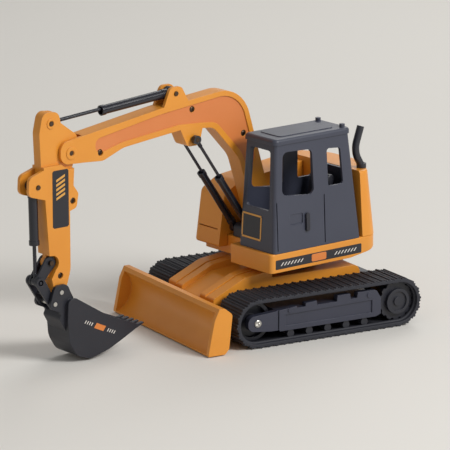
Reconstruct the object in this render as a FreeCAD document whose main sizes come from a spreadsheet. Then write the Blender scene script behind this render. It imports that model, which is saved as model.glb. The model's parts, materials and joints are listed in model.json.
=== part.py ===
"""Radio-controlled toy excavator: a FreeCAD model of its separate pieces.

Frame: +X to the front (blade and bucket), +Y to the machine's left (the cab's side), +Z up.
The origin is on the ground, on the axis that the upper structure turns about.
Pieces of the upper structure are drawn straight ahead and then turned by swing_angle.
"""
import FreeCAD, Part

import math
import os

import Sketcher
from FreeCAD import Placement, Rotation, Vector

doc = FreeCAD.newDocument("Excavator")

# Driving dimensions, in millimetres and degrees
SIZES = {
    "swing_angle": 9.0,
    "track_length": 140.0,
    "track_height": 33.0,
    "track_outside": 61.0,
    "belt_width": 27.0,
    "belt_wall": 1.8,
    "lug_height": 1.3,
    "lug_width": 3.0,
    "lug_count": 52,
    "wheel_gap": 0.35,
    "frame_outside": 59.5,
    "chassis_half": 30.5,
    "chassis_top": 30.0,
    "deck_bottom": 44.0,
    "deck_top": 56.5,
    "cab_left": 41.0,
    "cab_right": 5.0,
    "cab_front": 41.0,
    "cab_rear": -33.0,
    "cab_eaves": 127.0,
    "roof_top": 131.0,
    "cab_wall": 1.8,
    "tail_radius": 64.0,
    "hood_left": -19.5,
    "hood_right": -45.0,
    "body_top": 100.0,
    "boom_middle": -7.0,
    "boom_width": 12.0,
    "head_width": 7.0,
    "cylinder_offset": 8.9,
    "boom_foot_x": 13.0,
    "boom_foot_z": 68.0,
    "arm_pivot_x": 170.7,
    "arm_pivot_z": 134.8,
    "bucket_pivot_x": 181.7,
    "bucket_pivot_z": 47.4,
    "link_pin_x": 186.8,
    "link_pin_z": 40.5,
    "rocker_pivot_x": 186.5,
    "rocker_pivot_z": 66.2,
    "crank_pin_x": 195.5,
    "crank_pin_z": 55.0,
    "boom_cylinder_foot_x": 27.0,
    "boom_cylinder_foot_z": 62.0,
    "boom_bracket_x": 73.4,
    "boom_bracket_z": 130.1,
    "arm_cylinder_foot_x": 87.6,
    "arm_cylinder_foot_z": 161.7,
    "arm_head_x": 184.4,
    "arm_head_z": 155.1,
    "arm_lug_x": 196.8,
    "arm_lug_z": 116.7,
    "bucket_width": 23.0,
    "bucket_wall": 1.8,
    "blade_half": 63.5,
    "pin_radius": 1.5,
    "pin_fit": 0.08,
}

sheet = doc.addObject("Spreadsheet::Sheet", "dims")
for row, (alias, number) in enumerate(SIZES.items(), start=1):
    sheet.set(f"A{row}", alias)
    sheet.set(f"B{row}", f"{number:g}")
    sheet.setAlias(f"B{row}", alias)
doc.recompute()


class Size:
    """A length that knows the sheet formula it comes from."""

    def __init__(self, value, formula):
        self.value = float(value)
        self.formula = formula

    def __float__(self):
        return self.value

    def __add__(self, other):
        other = as_size(other)
        return Size(self.value + other.value, f"({self.formula} + {other.formula})")

    def __sub__(self, other):
        other = as_size(other)
        return Size(self.value - other.value, f"({self.formula} - {other.formula})")

    def __mul__(self, factor):
        return Size(self.value * factor, f"({self.formula} * {factor:.6g})")

    def __truediv__(self, factor):
        return Size(self.value / factor, f"({self.formula} / {factor:.6g})")

    def __neg__(self):
        return self * -1

    def __radd__(self, other):
        return as_size(other) + self

    def __rsub__(self, other):
        return as_size(other) - self

    __rmul__ = __mul__


def as_size(number):
    return number if isinstance(number, Size) else Size(number, f"{float(number):.6g}")


def size(alias):
    return Size(sheet.get(alias), f"dims.{alias}")


def point(name):
    """A pivot's place in the side view, from its two cells."""
    return size(f"{name}_x"), size(f"{name}_z")


def bind(thing, path, length):
    """Tie one property of an object to the sheet."""
    length = as_size(length)
    thing.setExpression(path, length.formula)


# Sketches, pads and pockets

NORMALS = {"XY": 1, "XZ": -1, "YZ": 1}
AXES = {"XY": Vector(0, 0, 1), "XZ": Vector(0, 1, 0), "YZ": Vector(1, 0, 0)}


def circle(centre, radius):
    return {"centre": centre, "radius": radius}


def round_corner(p, before, after, radius):
    """Where an arc of this radius leaves and joins the two sides of a corner, and its middle."""
    here = Vector(float(p[0]), float(p[1]), 0)
    u = (Vector(float(before[0]), float(before[1]), 0) - here).normalize()
    v = (Vector(float(after[0]), float(after[1]), 0) - here).normalize()
    half = u.getAngle(v) / 2
    reach = radius / math.tan(half)
    centre = here + (u + v).normalize() * (radius / math.sin(half))
    middle = centre + (here - centre).normalize() * radius
    return here + u * reach, middle, here + v * reach


def draw(sketch, outline):
    """Add one closed outline to a sketch: a circle, or corners (x, y) or (x, y, radius)."""
    if isinstance(outline, dict):
        x, y = outline["centre"]
        radius = as_size(outline["radius"])
        where = Vector(float(x), float(y), 0)
        index = sketch.addGeometry(Part.Circle(where, Vector(0, 0, 1), radius.value))
        limit(sketch, "Radius", (index,), radius)
        limit(sketch, "DistanceX", (-1, 1, index, 3), x)
        limit(sketch, "DistanceY", (-1, 1, index, 3), y)
        return
    count = len(outline)
    ends = []
    for n, corner in enumerate(outline):
        radius = corner[2] if len(corner) > 2 else 0
        here = Vector(float(corner[0]), float(corner[1]), 0)
        if radius:
            start, middle, end = round_corner(corner, outline[n - 1], outline[(n + 1) % count], radius)
            sketch.addGeometry(Part.Arc(start, middle, end))
            ends.append((start, end))
        else:
            ends.append((here, here))
    for n in range(count):
        start, end = ends[n][1], ends[(n + 1) % count][0]
        index = sketch.addGeometry(Part.LineSegment(start, end))
        if len(outline[n]) == 2 and any(isinstance(v, Size) for v in outline[n]):
            limit(sketch, "DistanceX", (-1, 1, index, 1), outline[n][0])
            limit(sketch, "DistanceY", (-1, 1, index, 1), outline[n][1])


def limit(sketch, kind, where, length):
    """Add a dimension to a sketch and tie it to the sheet."""
    length = as_size(length)
    index = sketch.addConstraint(Sketcher.Constraint(kind, *where, length.value))
    if isinstance(length, Size) and "dims" in length.formula:
        sketch.setExpression(f"Constraints[{index}]", length.formula)


def new_body(label):
    body = doc.addObject("PartDesign::Body", label)
    body.Label = label
    return body


def sketch_at(body, plane, start, outlines):
    """A sketch parallel to one of the body's own planes, at a distance along its axis."""
    origin = next(f for f in body.Origin.OriginFeatures if f.Role == f"{plane}_Plane")
    sketch = body.newObject("Sketcher::SketchObject", f"{body.Name}_outline")
    sketch.AttachmentSupport = [(origin, "")]
    sketch.MapMode = "FlatFace"
    bind(sketch, "AttachmentOffset.Base.z", as_size(start) * NORMALS[plane])
    for outline in outlines:
        draw(sketch, outline)
    return sketch


def pad(body, plane, start, length, *outlines):
    """Add material from start, for a length along the plane's positive axis."""
    sketch = sketch_at(body, plane, start, outlines)
    feature = body.newObject("PartDesign::Pad", f"{body.Name}_pad")
    feature.Profile = sketch
    feature.Reversed = NORMALS[plane] < 0
    bind(feature, "Length", length)
    body.Tip = feature
    return feature


def pocket(body, plane, start, length, *outlines):
    """Remove material from start, for a length along the plane's positive axis."""
    doc.recompute()
    before = body.Shape.Volume
    sketch = sketch_at(body, plane, start, outlines)
    feature = body.newObject("PartDesign::Pocket", f"{body.Name}_pocket")
    feature.Profile = sketch
    feature.Reversed = NORMALS[plane] > 0
    bind(feature, "Length", length)
    body.Tip = feature
    doc.recompute()
    if body.Shape.Volume > before - 0.01:
        raise ValueError(f"{feature.Label} in {body.Label} cuts nothing: {feature.getStatusString()}")
    return feature


def loft(body, kind, lower, upper, lower_z, upper_z):
    """A tapering solid or hollow between two level outlines."""
    first = sketch_at(body, "XY", lower_z, [lower])
    second = sketch_at(body, "XY", upper_z, [upper])
    feature = body.newObject(f"PartDesign::{kind}Loft", f"{body.Name}_loft")
    feature.Profile = first
    feature.Sections = [second]
    feature.Ruled = True
    body.Tip = feature
    return feature


def soften(body, radius, wanted):
    """Round the edges that a test picks, with one fillet."""
    doc.recompute()
    names = [f"Edge{n}" for n, edge in enumerate(body.Shape.Edges, start=1) if wanted(edge)]
    if not names:
        raise ValueError(f"no edge of {body.Label} to round")
    last = body.Tip
    feature = body.newObject("PartDesign::Fillet", f"{body.Name}_fillet")
    feature.Base = (last, names)
    bind(feature, "Radius", radius)
    body.Tip = feature
    doc.recompute()
    if "Invalid" in feature.State:
        raise ValueError(f"{feature.Label} in {body.Label} failed: {feature.getStatusString()}")
    return feature


def rectangle(x_low, x_high, y_low, y_high, radius=0):
    corners = [(x_low, y_low), (x_high, y_low), (x_high, y_high), (x_low, y_high)]
    return [(*c, radius) for c in corners] if radius else corners


def rising(edge):
    """True for a straight edge that runs mostly upwards."""
    if len(edge.Vertexes) < 2:
        return False
    way = edge.Vertexes[1].Point - edge.Vertexes[0].Point
    return abs(way.z) > 0.8 * edge.Length


def level_at(height):
    """A test for edges that lie at one height."""
    return lambda edge: all(abs(v.Point.z - height) < 0.01 for v in edge.Vertexes)


# Part primitives and booleans

FACING = {
    "X": Rotation(Vector(0, 0, 1), Vector(1, 0, 0)),
    "Y": Rotation(Vector(0, 0, 1), Vector(0, 1, 0)),
    "Z": Rotation(),
}


def cylinder(label, axis, place, radius, length):
    """A cylinder from place, for a length along one axis."""
    thing = doc.addObject("Part::Cylinder", label)
    bind(thing, "Radius", radius)
    bind(thing, "Height", length)
    thing.Placement = Placement(Vector(*(float(v) for v in place)), FACING[axis])
    return thing


def box(label, low, high):
    thing = doc.addObject("Part::Box", label)
    for path, near, far in zip(("Length", "Width", "Height"), low, high):
        bind(thing, path, as_size(far) - near)
    thing.Placement.Base = Vector(*(float(v) for v in low))
    return thing


def join(label, pieces):
    """One solid from several that touch or cross."""
    thing = doc.addObject("Part::MultiFuse", label)
    thing.Shapes = pieces
    thing.Refine = True
    return thing


def group(label, pieces):
    """Separate solids that share one node."""
    thing = doc.addObject("Part::Compound", label)
    thing.Links = pieces
    return thing


def cut(label, base, tool):
    thing = doc.addObject("Part::Cut", label)
    thing.Base = base
    thing.Tool = tool
    return thing


def plain(label, shape):
    """A piece whose shape comes straight from Part's own functions."""
    thing = doc.addObject("Part::Feature", label)
    thing.Shape = shape
    return thing


SIDES = {"left": 1, "right": -1}
nodes = []
upper = Placement(Vector(), Rotation(Vector(0, 0, 1), float(size("swing_angle"))))


def keep(thing, placement=None):
    """Name a finished sub-part and, for the upper structure, turn it into place."""
    thing.Label = thing.Name
    if placement is not None:
        thing.Placement = placement * thing.Placement
    nodes.append(thing)
    return thing


def mirrored_span(side, near, far):
    """Start and length along Y of a slab that lies between two distances on one side."""
    near, far = as_size(near), as_size(far)
    return (near if side > 0 else -far), far - near


# Undercarriage: chassis between the tracks

def make_chassis():
    half = size("chassis_half")
    top = size("chassis_top")
    body = new_body("chassis")
    side_view = [(-41, 12), (-36, 7), (46, 7), (52, 12), (52, 22), (46, top), (-41, top)]
    pad(body, "XZ", -half, half * 2, side_view)
    pad(body, "XY", top, 9, circle((0, 0), 22))
    rear_half = 32
    rear_view = [(-41.5, 7), (-58, 7, 3), (-63, 11, 3), (-63, 24, 4), (-58, 26.8, 4), (-41.5, 26.8)]
    pad(body, "XZ", -rear_half, rear_half * 2, rear_view)
    rear_room = [(-41, 7.9), (-61.4, 7.9), (-61.4, 25.3), (-41, 25.3)]
    pocket(body, "XZ", 0.8 - rear_half, (rear_half - 0.8) * 2, rear_room)
    shaft_x = size("track_height") / 2 - size("track_length") / 2
    pocket(body, "XZ", -34, 68, circle((shaft_x, size("track_height") / 2), 3.2))
    lug_view = [(52, 10), (57, 8.5, 4), (63, 8.5, 4), (63, 17.5, 4), (57, 17.5, 4), (52, 20)]
    for side in (1, -1):
        for y in (10.5, 21):
            start, length = mirrored_span(side, y, y + 2.5)
            pad(body, "XZ", start, length, lug_view)
    pocket(body, "XZ", -26, 52, circle((59.5, 13), size("pin_radius") + size("pin_fit")))
    pocket(body, "XY", 7, 14, rectangle(-30, 26, -20, 20, 2))
    pocket(body, "XY", 7, 1.5, rectangle(-33, 29, -23, 23, 3))
    pocket(body, "XY", 7, 3, rectangle(32, 44, -5, 5))
    for x, y in screw_places():
        pocket(body, "XY", 5, 5, circle((x, y), 2.1))
    return keep(body)


def screw_places():
    return [(x, y) for x in (-34.5, 40) for y in (-26, 26)]


def make_chassis_screws():
    """Four self-tapping screws that hold the chassis cover from below."""
    screws = []
    for n, (x, y) in enumerate(screw_places()):
        head = cylinder(f"chassis_screw_head_{n}", "Z", (x, y, 7.8), 2, 1.2)
        shank = cylinder(f"chassis_screw_shank_{n}", "Z", (x, y, 8.9), 1.1, 1.1)
        screws.append(join(f"chassis_screw_{n}", [head, shank]))
    keep(group("chassis_screws", screws))


def make_chassis_cover():
    """The sloped moulded cover from the blade up to the turntable, with two raised ribs."""
    body = new_body("chassis_cover")
    top = size("chassis_top")
    slope = [(69, 20.5), (69, 24.5, 2), (47, 34.5, 12), (30, 36.5), (-42, 36.5, 5), (-42, 27),
             (-41, 27), (-41, top), (46, top), (52.3, 22.3), (52.3, 20.5)]
    pad(body, "XZ", -29.5, 59, slope)
    rib = [(69, 22), (69, 27.5, 2), (46, 38.5, 12), (29, 41), (25, 41), (25, 33), (45, 33)]
    for side in (1, -1):
        start, length = mirrored_span(side, 12, 29.5)
        pad(body, "XZ", start, length, rib)
        groove_start, groove_length = mirrored_span(side, 18.5, 20.5)
        groove = [(70, 26.2), (70, 30), (46, 42), (30, 43.5), (30, 40), (45.5, 37.3)]
        pocket(body, "XZ", groove_start, groove_length, groove)
    pocket(body, "XY", 29, 20, circle((0, 0), 22.15))
    keep(body)


def make_turntable_ring():
    """Ring with a raised bead that the upper structure's plate runs on."""
    ring = cylinder("ring_blank", "Z", (0, 0, 39), 21.5, 4.6)
    hole = cylinder("ring_hole", "Z", (0, 0, 38), 9, 7)
    keep(cut("turntable_ring", ring, hole))


def make_track_frame(name, side):
    """Side frame with its row of notches, open at both ends for the wheels."""
    body = new_body(f"track_frame_{name}")
    half, outside = size("chassis_half"), size("frame_outside")
    wheel_x = size("track_length") / 2 - size("track_height") / 2
    beam = [(-36, 9), (37, 9), (39, 14), (39, 23), (-38.5, 23), (-38.5, 14)]
    start, length = mirrored_span(side, half, outside)
    pad(body, "XZ", start, length, beam)
    cheek = [(-39.6, 10.5), (-36, 9), (44, 10, 4), (60.5, 11.8, 4.5), (60.5, 21.2, 4.5), (46, 22.2, 4),
             (24.5, 24.2), (24, 22), (18, 22), (17.6, 25.2), (9.4, 25.8), (9, 22.6), (-6, 22.6),
             (-6.4, 27), (-16, 27), (-16.4, 23.4), (-21.4, 23.4), (-21.8, 27), (-36, 27, 3), (-39.6, 21)]
    start, length = mirrored_span(side, outside - 4.5, outside)
    pad(body, "XZ", start, length, cheek)
    inner = [(30, 10), (60.5, 11.8, 4.5), (60.5, 21.2, 4.5), (30, 22.5)]
    start, length = mirrored_span(side, 34.5, 38.5)
    pad(body, "XZ", start, length, inner)
    bore = circle((wheel_x, size("track_height") / 2), size("pin_radius") + 0.55)
    start, length = mirrored_span(side, 33, outside + 1)
    pocket(body, "XZ", start, length, bore)
    start, length = mirrored_span(side, outside - 0.9, outside + 1)
    seam = rectangle(37.6, 38.6, 8, 26)
    panel = [(-33, 12), (33, 12), (33, 19.5), (-33, 20.5)]
    pocket(body, "XZ", start, length, seam, panel)
    bosses = [circle((29.4, 22.2), 1.7), circle((-30.6, 24), 1.7)]
    start, length = mirrored_span(side, outside - 1, outside + 0.6)
    pad(body, "XZ", start, length, *bosses)
    keep(body)


def make_rollers(name, side):
    """Five road rollers under the side frame, each in its moulded saddle."""
    rollers = []
    start, length = mirrored_span(side, 39, 58)
    for n, x in enumerate((-28, -14, 0, 14, 28)):
        roller = cylinder(f"roller_{name}_{n}", "Y", (x, start, 6.1), 2.6, length)
        saddle = box(f"saddle_{name}_{n}", (x - 1.8, start, 6.1), (x + 1.8, start + length, 9))
        rollers.append(join(f"roller_unit_{name}_{n}", [roller, saddle]))
    keep(group(f"road_rollers_{name}", rollers))


def stadium(radius, half_run, centre_z, y_low, y_high):
    """A solid with the outline of a belt round two wheels."""
    low, high = centre_z - radius, centre_z + radius
    start = Vector(-half_run, y_low, high)
    top = Part.makeLine(start, Vector(half_run, y_low, high))
    front = Part.Arc(Vector(half_run, y_low, high), Vector(half_run + radius, y_low, centre_z),
                     Vector(half_run, y_low, low)).toShape()
    bottom = Part.makeLine(Vector(half_run, y_low, low), Vector(-half_run, y_low, low))
    rear = Part.Arc(Vector(-half_run, y_low, low), Vector(-half_run - radius, y_low, centre_z), start)
    outline = Part.Wire([top, front, bottom, rear.toShape()])
    return Part.Face(outline).extrude(Vector(0, y_high - y_low, 0))


def make_track_belt(name, side):
    """Rubber belt: a band round both wheels with a bar across it at every step."""
    centre_z = float(size("track_height") / 2)
    half_run = float(size("track_length") / 2) - centre_z
    bar_height = float(size("lug_height"))
    outer = centre_z - bar_height
    inner = outer - float(size("belt_wall"))
    far = float(size("track_outside"))
    near = far - float(size("belt_width"))
    y_low, y_high = (near, far) if side > 0 else (-far, -near)
    band = stadium(outer, half_run, centre_z, y_low, y_high)
    band = band.cut(stadium(inner, half_run, centre_z, y_low - 1, y_high + 1))
    run, turn = 2 * half_run, math.pi * outer
    step = 2 * (run + turn) / float(size("lug_count"))
    bar_width = float(size("lug_width"))
    root = 0.3
    bars = []
    for n in range(int(float(size("lug_count")))):
        way = (n + 0.5) * step
        bar = Part.makeBox(bar_width, y_high - y_low, bar_height + root,
                           Vector(-bar_width / 2, y_low, outer - root))
        if way < run:
            angle, x = 0, way - half_run
        elif way < run + turn:
            angle, x = math.degrees((way - run) / outer), half_run
        elif way < 2 * run + turn:
            angle, x = 180, half_run - (way - run - turn)
        else:
            angle, x = 180 + math.degrees((way - 2 * run - turn) / outer), -half_run
        bar.Placement = Placement(Vector(x, 0, centre_z), Rotation(Vector(0, 1, 0), angle))
        bars.append(bar)
    belt = band.fuse(bars).removeSplitter()
    keep(plain(f"track_belt_{name}", belt))


def wheel_radius():
    return size("track_height") / 2 - size("lug_height") - size("belt_wall") - size("wheel_gap")


def make_idler(name, side):
    """Front wheel: a hub and a rim with a dished web between them."""
    wheel_x = size("track_length") / 2 - size("track_height") / 2
    height = size("track_height") / 2
    start, length = mirrored_span(side, 40, 53)
    blank = cylinder(f"idler_blank_{name}", "Y", (wheel_x, start, height), wheel_radius(), length)
    bore = cylinder(f"idler_bore_{name}", "Y", (wheel_x, start - 1, height),
                    size("pin_radius") + size("pin_fit") + 0.5, length + 2)
    tools = [bore]
    for face, y in (("inner", start - 1), ("outer", start + length - 3)):
        dish = cylinder(f"idler_dish_{face}_{name}", "Y", (wheel_x, y, height), 10.5, 4)
        hub = cylinder(f"idler_hub_{face}_{name}", "Y", (wheel_x, y, height), 4.5, 4)
        tools.append(cut(f"idler_recess_{face}_{name}", dish, hub))
    tool = doc.addObject("Part::MultiFuse", f"idler_tool_{name}")
    tool.Shapes = tools
    keep(cut(f"idler_{name}", blank, tool))


def make_idler_axles():
    """Fixed axle of each idler, with the bright screw head that shows outside the frame."""
    wheel_x = size("track_length") / 2 - size("track_height") / 2
    height = size("track_height") / 2
    outside = size("frame_outside")
    axles = []
    for name, side in SIDES.items():
        start, length = mirrored_span(side, 35, outside)
        axle = cylinder(f"axle_{name}", "Y", (wheel_x, start, height), size("pin_radius") + 0.5, length)
        start, length = mirrored_span(side, outside, outside + 1)
        head = cylinder(f"axle_head_{name}", "Y", (wheel_x, start, height), 2.6, length)
        axles.append(join(f"axle_unit_{name}", [axle, head]))
    keep(group("idler_axles", axles))


def make_sprocket(name, side):
    """Rear drive wheel with its teeth, hub cap and drive shaft."""
    radius = wheel_radius()
    height = float(size("track_height") / 2)
    wheel_x = -float(size("track_length") / 2 - size("track_height") / 2)
    teeth = 14
    start, length = mirrored_span(side, 40, 56)
    body = new_body(f"sprocket_{name}")
    pad(body, "XZ", start, length, circle((wheel_x, height), radius))
    gap_radius = 1.5
    gaps = []
    for n in range(teeth):
        angle = 2 * math.pi * n / teeth
        reach = float(radius) + 0.4
        gaps.append(circle((wheel_x + reach * math.cos(angle), height + reach * math.sin(angle)), gap_radius))
    pocket(body, "XZ", start, length, *gaps)
    cap_start, cap_length = mirrored_span(side, 56, 58.8)
    pad(body, "XZ", cap_start, cap_length, circle((wheel_x, height), 8.5))
    ring_start, ring_length = mirrored_span(side, 57.6, 60)
    pocket(body, "XZ", ring_start, ring_length, circle((wheel_x, height), 6.5), circle((wheel_x, height), 3))
    shaft_start, shaft_length = mirrored_span(side, 23, 40)
    pad(body, "XZ", shaft_start, shaft_length, circle((wheel_x, height), 2.4))
    keep(body)


def make_drive_gearbox(name, side):
    """Track motor and its gearbox, behind the chassis and open to the sprocket's shaft."""
    height = size("track_height") / 2
    wheel_x = -(size("track_length") / 2 - size("track_height") / 2)
    start, length = mirrored_span(side, 15, 30)
    body = new_body(f"drive_gearbox_{name}")
    pad(body, "XZ", start, length, rectangle(wheel_x - 7.5, -41, 8, 25, 2.5))
    motor_start, motor_length = mirrored_span(side, 2, 15)
    pad(body, "XZ", motor_start, motor_length, circle((-50, height), 6.5))
    bore_start, bore_length = mirrored_span(side, 22, 31)
    bore = circle((wheel_x, height), 2.4 + size("pin_fit"))
    pocket(body, "XZ", bore_start, bore_length, bore)
    keep(body)


def make_battery():
    """Three round cells side by side in the chassis, and the cover that closes them in."""
    cells = [cylinder(f"cell_{n}", "X", (-27, y, 14.3), 5.2, 50) for n, y in enumerate((-12, 0, 12))]
    keep(group("battery_cells", cells))
    body = new_body("battery_cover")
    pad(body, "XY", 7.1, 1.3, rectangle(-32.8, 28.8, -22.8, 22.8, 3))
    pocket(body, "XY", 6.5, 1.2, *[rectangle(x, x + 1, -14, 14) for x in (16, 19, 22, 25)])
    keep(body)


def make_power_switch():
    """Slide switch under the chassis: a small ribbed button in its slot."""
    base = box("switch_base", (34.5, -3.5, 8.3), (40.5, 3.5, 9.9))
    knob = box("switch_knob", (36, -1.6, 6.4), (39, 1.6, 8.4))
    keep(join("power_switch", [base, knob]))


# Dozer blade

def make_blade():
    """Blade with a hollow front, side plates, back ribs and two push arms."""
    body = new_body("blade")
    half = size("blade_half")
    side_view = [(92, 0.8), (92, 2.4), (87.5, 24), (84, 31), (80, 31, 1), (74.5, 26.5, 3), (77, 4), (80, 0.8)]
    pad(body, "XZ", -half, half * 2, side_view)
    hollow = circle((95.9, 16.8), 15.6)
    pocket(body, "XZ", 3.2 - half, (half - 3.2) * 2, hollow)
    arm_view = [(79, 7.5), (79, 19), (66, 16.8), (59.5, 16.8, 3.7), (55.8, 13, 3.7), (59.5, 9.2, 3.7), (66, 9.2)]
    for side in (1, -1):
        start, length = mirrored_span(side, 13.3, 20.7)
        pad(body, "XZ", start, length, arm_view)
        for y in (31, 46):
            start, length = mirrored_span(side, y, y + 2)
            pad(body, "XZ", start, length, [(78, 4), (78, 27), (73.5, 24), (72.8, 9)])
    pocket(body, "XZ", -21, 42, circle((59.5, 13), size("pin_radius") + size("pin_fit")))
    keep(body)
    pins = []
    for name, side in SIDES.items():
        start, length = mirrored_span(side, 10.2, 23.8)
        pins.append(cylinder(f"blade_pin_{name}", "Y", (59.5, start, 13), size("pin_radius"), length))
    keep(group("blade_pins", pins))


# Upper structure

def make_turntable_plate():
    disc = cylinder("plate_disc", "Z", (0, 0, 44), 23, 2)
    spigot = cylinder("plate_spigot", "Z", (0, 0, 39.5), 8.9, 4.6)
    keep(join("turntable_plate", [disc, spigot]), upper)


def make_deck():
    """Floor plate of the upper structure: square at the cab, round at the tail."""
    body = new_body("deck")
    bottom, top = size("deck_bottom"), size("deck_top")
    left, right, tail = size("cab_left"), size("hood_right"), size("tail_radius")
    plan = [(43.5, left, 3), (-44, left, 13), (-tail, 17, 20), (-tail, -19, 20), (-44, right, 13),
            (30, right, 4), (30, -0.8), (43.5, -0.8, 1.5)]
    pad(body, "XY", bottom, top - bottom, plan)
    pocket(body, "XY", bottom - 1, 3.1, circle((0, 0), 23.2))
    pocket(body, "XY", bottom, 8, rectangle(-50, -30, -30, 30, 3))
    pocket(body, "XY", 51, 6, circle((-45, -2), 2.4))
    pocket(body, "XZ", right - 1, left - right + 2, [(-24, 40), (-24, 44), (-42, 46.6, 20), (-70, 55), (-70, 40)])
    soften(body, 1.0, level_at(float(top)))
    keep(body, upper)


def make_rear_body():
    """Tail casing with its counterweight curve, hollow for the motors."""
    body = new_body("rear_body")
    top, left, right, tail = size("body_top"), size("cab_left"), size("hood_right"), size("tail_radius")
    front = -34.5
    lower = [(front, left), (-44.4, left, 12), (0.6 - tail, 17, 19), (0.6 - tail, -19, 19),
             (-44.4, right, 12), (front, right)]
    higher = [(front, left - 3.5), (-41.5, left - 3.5, 8), (-57, 15, 14), (-57, -17, 14),
              (-41.5, right + 3, 8), (front, right + 3)]
    loft(body, "Additive", lower, higher, size("deck_top"), top)
    hollow = [(-37.5, -38), (-41, -38, 5), (-54, -15, 8), (-54, 11, 8), (-41, 33.5, 5), (-37.5, 33.5)]
    pocket(body, "XY", 56, 36, hollow)
    pocket(body, "YZ", -65, 6.5, *[rectangle(-14, 14, z, z + 2) for z in (74, 78, 82, 86)])
    soften(body, 2.0, lambda e: level_at(float(top))(e) and e.BoundBox.XMin < front - 0.1)
    keep(body, upper)


def make_engine_hood():
    """Hood on the machine's right: its nose leans back and drops in front of the deck."""
    body = new_body("engine_hood")
    left, right = size("hood_left"), size("hood_right")
    side_view = [(38, 49, 1.5), (33, 84, 5), (20, 91, 12), (-34, 97), (-34, 56.8), (30.4, 56.8), (30.4, 49)]
    pad(body, "XZ", right, left - right, side_view)
    soften(body, 2.5, lambda e: abs(e.BoundBox.YMin - float(right)) < 0.01 and e.BoundBox.YLength < 0.01
           and e.BoundBox.ZMax > 80 and e.BoundBox.ZMin > 48)
    pocket(body, "XZ", right - 1, 2, *[rectangle(-24, -4, z, z + 2.2, 1) for z in (72, 77, 82)])
    pocket(body, "YZ", 34, 6, rectangle(right + 3, left - 3, 60, 60.8))
    keep(body, upper)


def window(corners, radius):
    return [(*c, radius) for c in corners]


SIDE_DOOR = [(6, 91), (33, 94), (31.5, 122), (7, 121)]
SIDE_REAR = [(-19, 94.5), (-6, 94.5), (-5.5, 119.5), (-17, 118.5)]


def make_cab():
    """Cab shell: leaning walls round an open inside, with open windows on every side."""
    body = new_body("cab_shell")
    left, right, front, rear = size("cab_left"), size("cab_right"), size("cab_front"), size("cab_rear")
    wall, floor, eaves = size("cab_wall"), size("deck_top"), size("cab_eaves")
    lean_front, lean_rear, lean_left, lean_right = 3.5, 8.0, 3.5, 2.5
    lower = rectangle(rear, front, right, left, 2.5)
    higher = rectangle(rear + lean_rear, front - lean_front, right + lean_right, left - lean_left, 2.5)
    loft(body, "Additive", lower, higher, floor, eaves)
    lower = rectangle(rear + wall, front - wall, right + wall, left - wall, 1)
    higher = rectangle(rear + lean_rear + wall, front - lean_front - wall,
                       right + lean_right + wall, left - lean_left - wall, 1)
    loft(body, "Subtractive", lower, higher, floor - 0.01, eaves - 1.5)
    doc.recompute()
    pocket(body, "XZ", right - 1, left - right + 2, window(SIDE_DOOR, 4), window(SIDE_REAR, 2))
    pocket(body, "YZ", 30, 14, [(11.5, 84, 2), (34.5, 84, 2), (33, 123, 2), (12.5, 123, 2)])
    pocket(body, "YZ", rear - 1, 14, rectangle(12, 33, 102, 122, 2))
    pocket(body, "XZ", 39.3, 3, rectangle(16, 27, 73.5, 80.5, 1))
    pocket(body, "XZ", 38.6, 3, rectangle(-2.8, -2.0, 58, 90))
    pocket(body, "XZ", 38.6, 3, rectangle(37.2, 37.9, 58, 90))
    keep(body, upper)
    handle = new_body("door_handle")
    pad(handle, "XZ", left, 1.6, rectangle(11.2, 14.2, 68, 80, 1.2))
    pocket(handle, "XZ", left, 0.7, rectangle(10, 15, 70.5, 77.5))
    wall_angle = math.degrees(math.atan2(lean_left, float(eaves - floor)))
    wall_foot = Vector(0, float(left), float(floor))
    keep(handle, upper * Placement(Vector(), Rotation(Vector(1, 0, 0), wall_angle), wall_foot))


def make_roof():
    """Roof panel just wider than the walls under it, with a raised middle and two corner lugs."""
    body = new_body("cab_roof")
    eaves, top = size("cab_eaves"), size("roof_top")
    pad(body, "XY", eaves, top - eaves, rectangle(-26, 38.6, 6.6, 38.4, 3.5))
    soften(body, 2.2, level_at(float(top)))
    pad(body, "XY", top - 0.5, 1.0, rectangle(-16, 30, 12, 33, 3))
    for y in (10.5, 34.5):
        pad(body, "XY", top - 0.5, 2.6, circle((-21.5, y), 1.8))
    keep(body, upper)


def make_seat():
    """Operator's seat: pedestal, cushion and a leaning back rest."""
    body = new_body("seat")
    floor = size("deck_top")
    pad(body, "XY", floor, 9, rectangle(-8, 6, 17, 29, 2))
    pad(body, "XZ", 14, 18, [(-11, 65), (12, 65, 2), (12, 71, 2.5), (-6, 71, 1), (-12, 100, 2.5), (-18, 99, 2.5)])
    soften(body, 1.2, lambda e: e.BoundBox.YLength < 0.01 and e.BoundBox.ZMin > 66)
    keep(body, upper)


def make_levers():
    """Two arm consoles, each with a control lever and its ball."""
    levers = []
    for n, y in enumerate((12, 34)):
        post = box(f"console_{n}", (9, y - 2, 56.5), (17, y + 2, 77))
        stick = cylinder(f"lever_{n}", "Z", (14.5, y, 77), 0.8, 9)
        ball = doc.addObject("Part::Sphere", f"lever_ball_{n}")
        ball.Radius = 1.6
        ball.Placement.Base = Vector(14.5, y, 86.5)
        levers.append(join(f"lever_unit_{n}", [post, stick, ball]))
    keep(group("control_levers", levers), upper)


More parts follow.
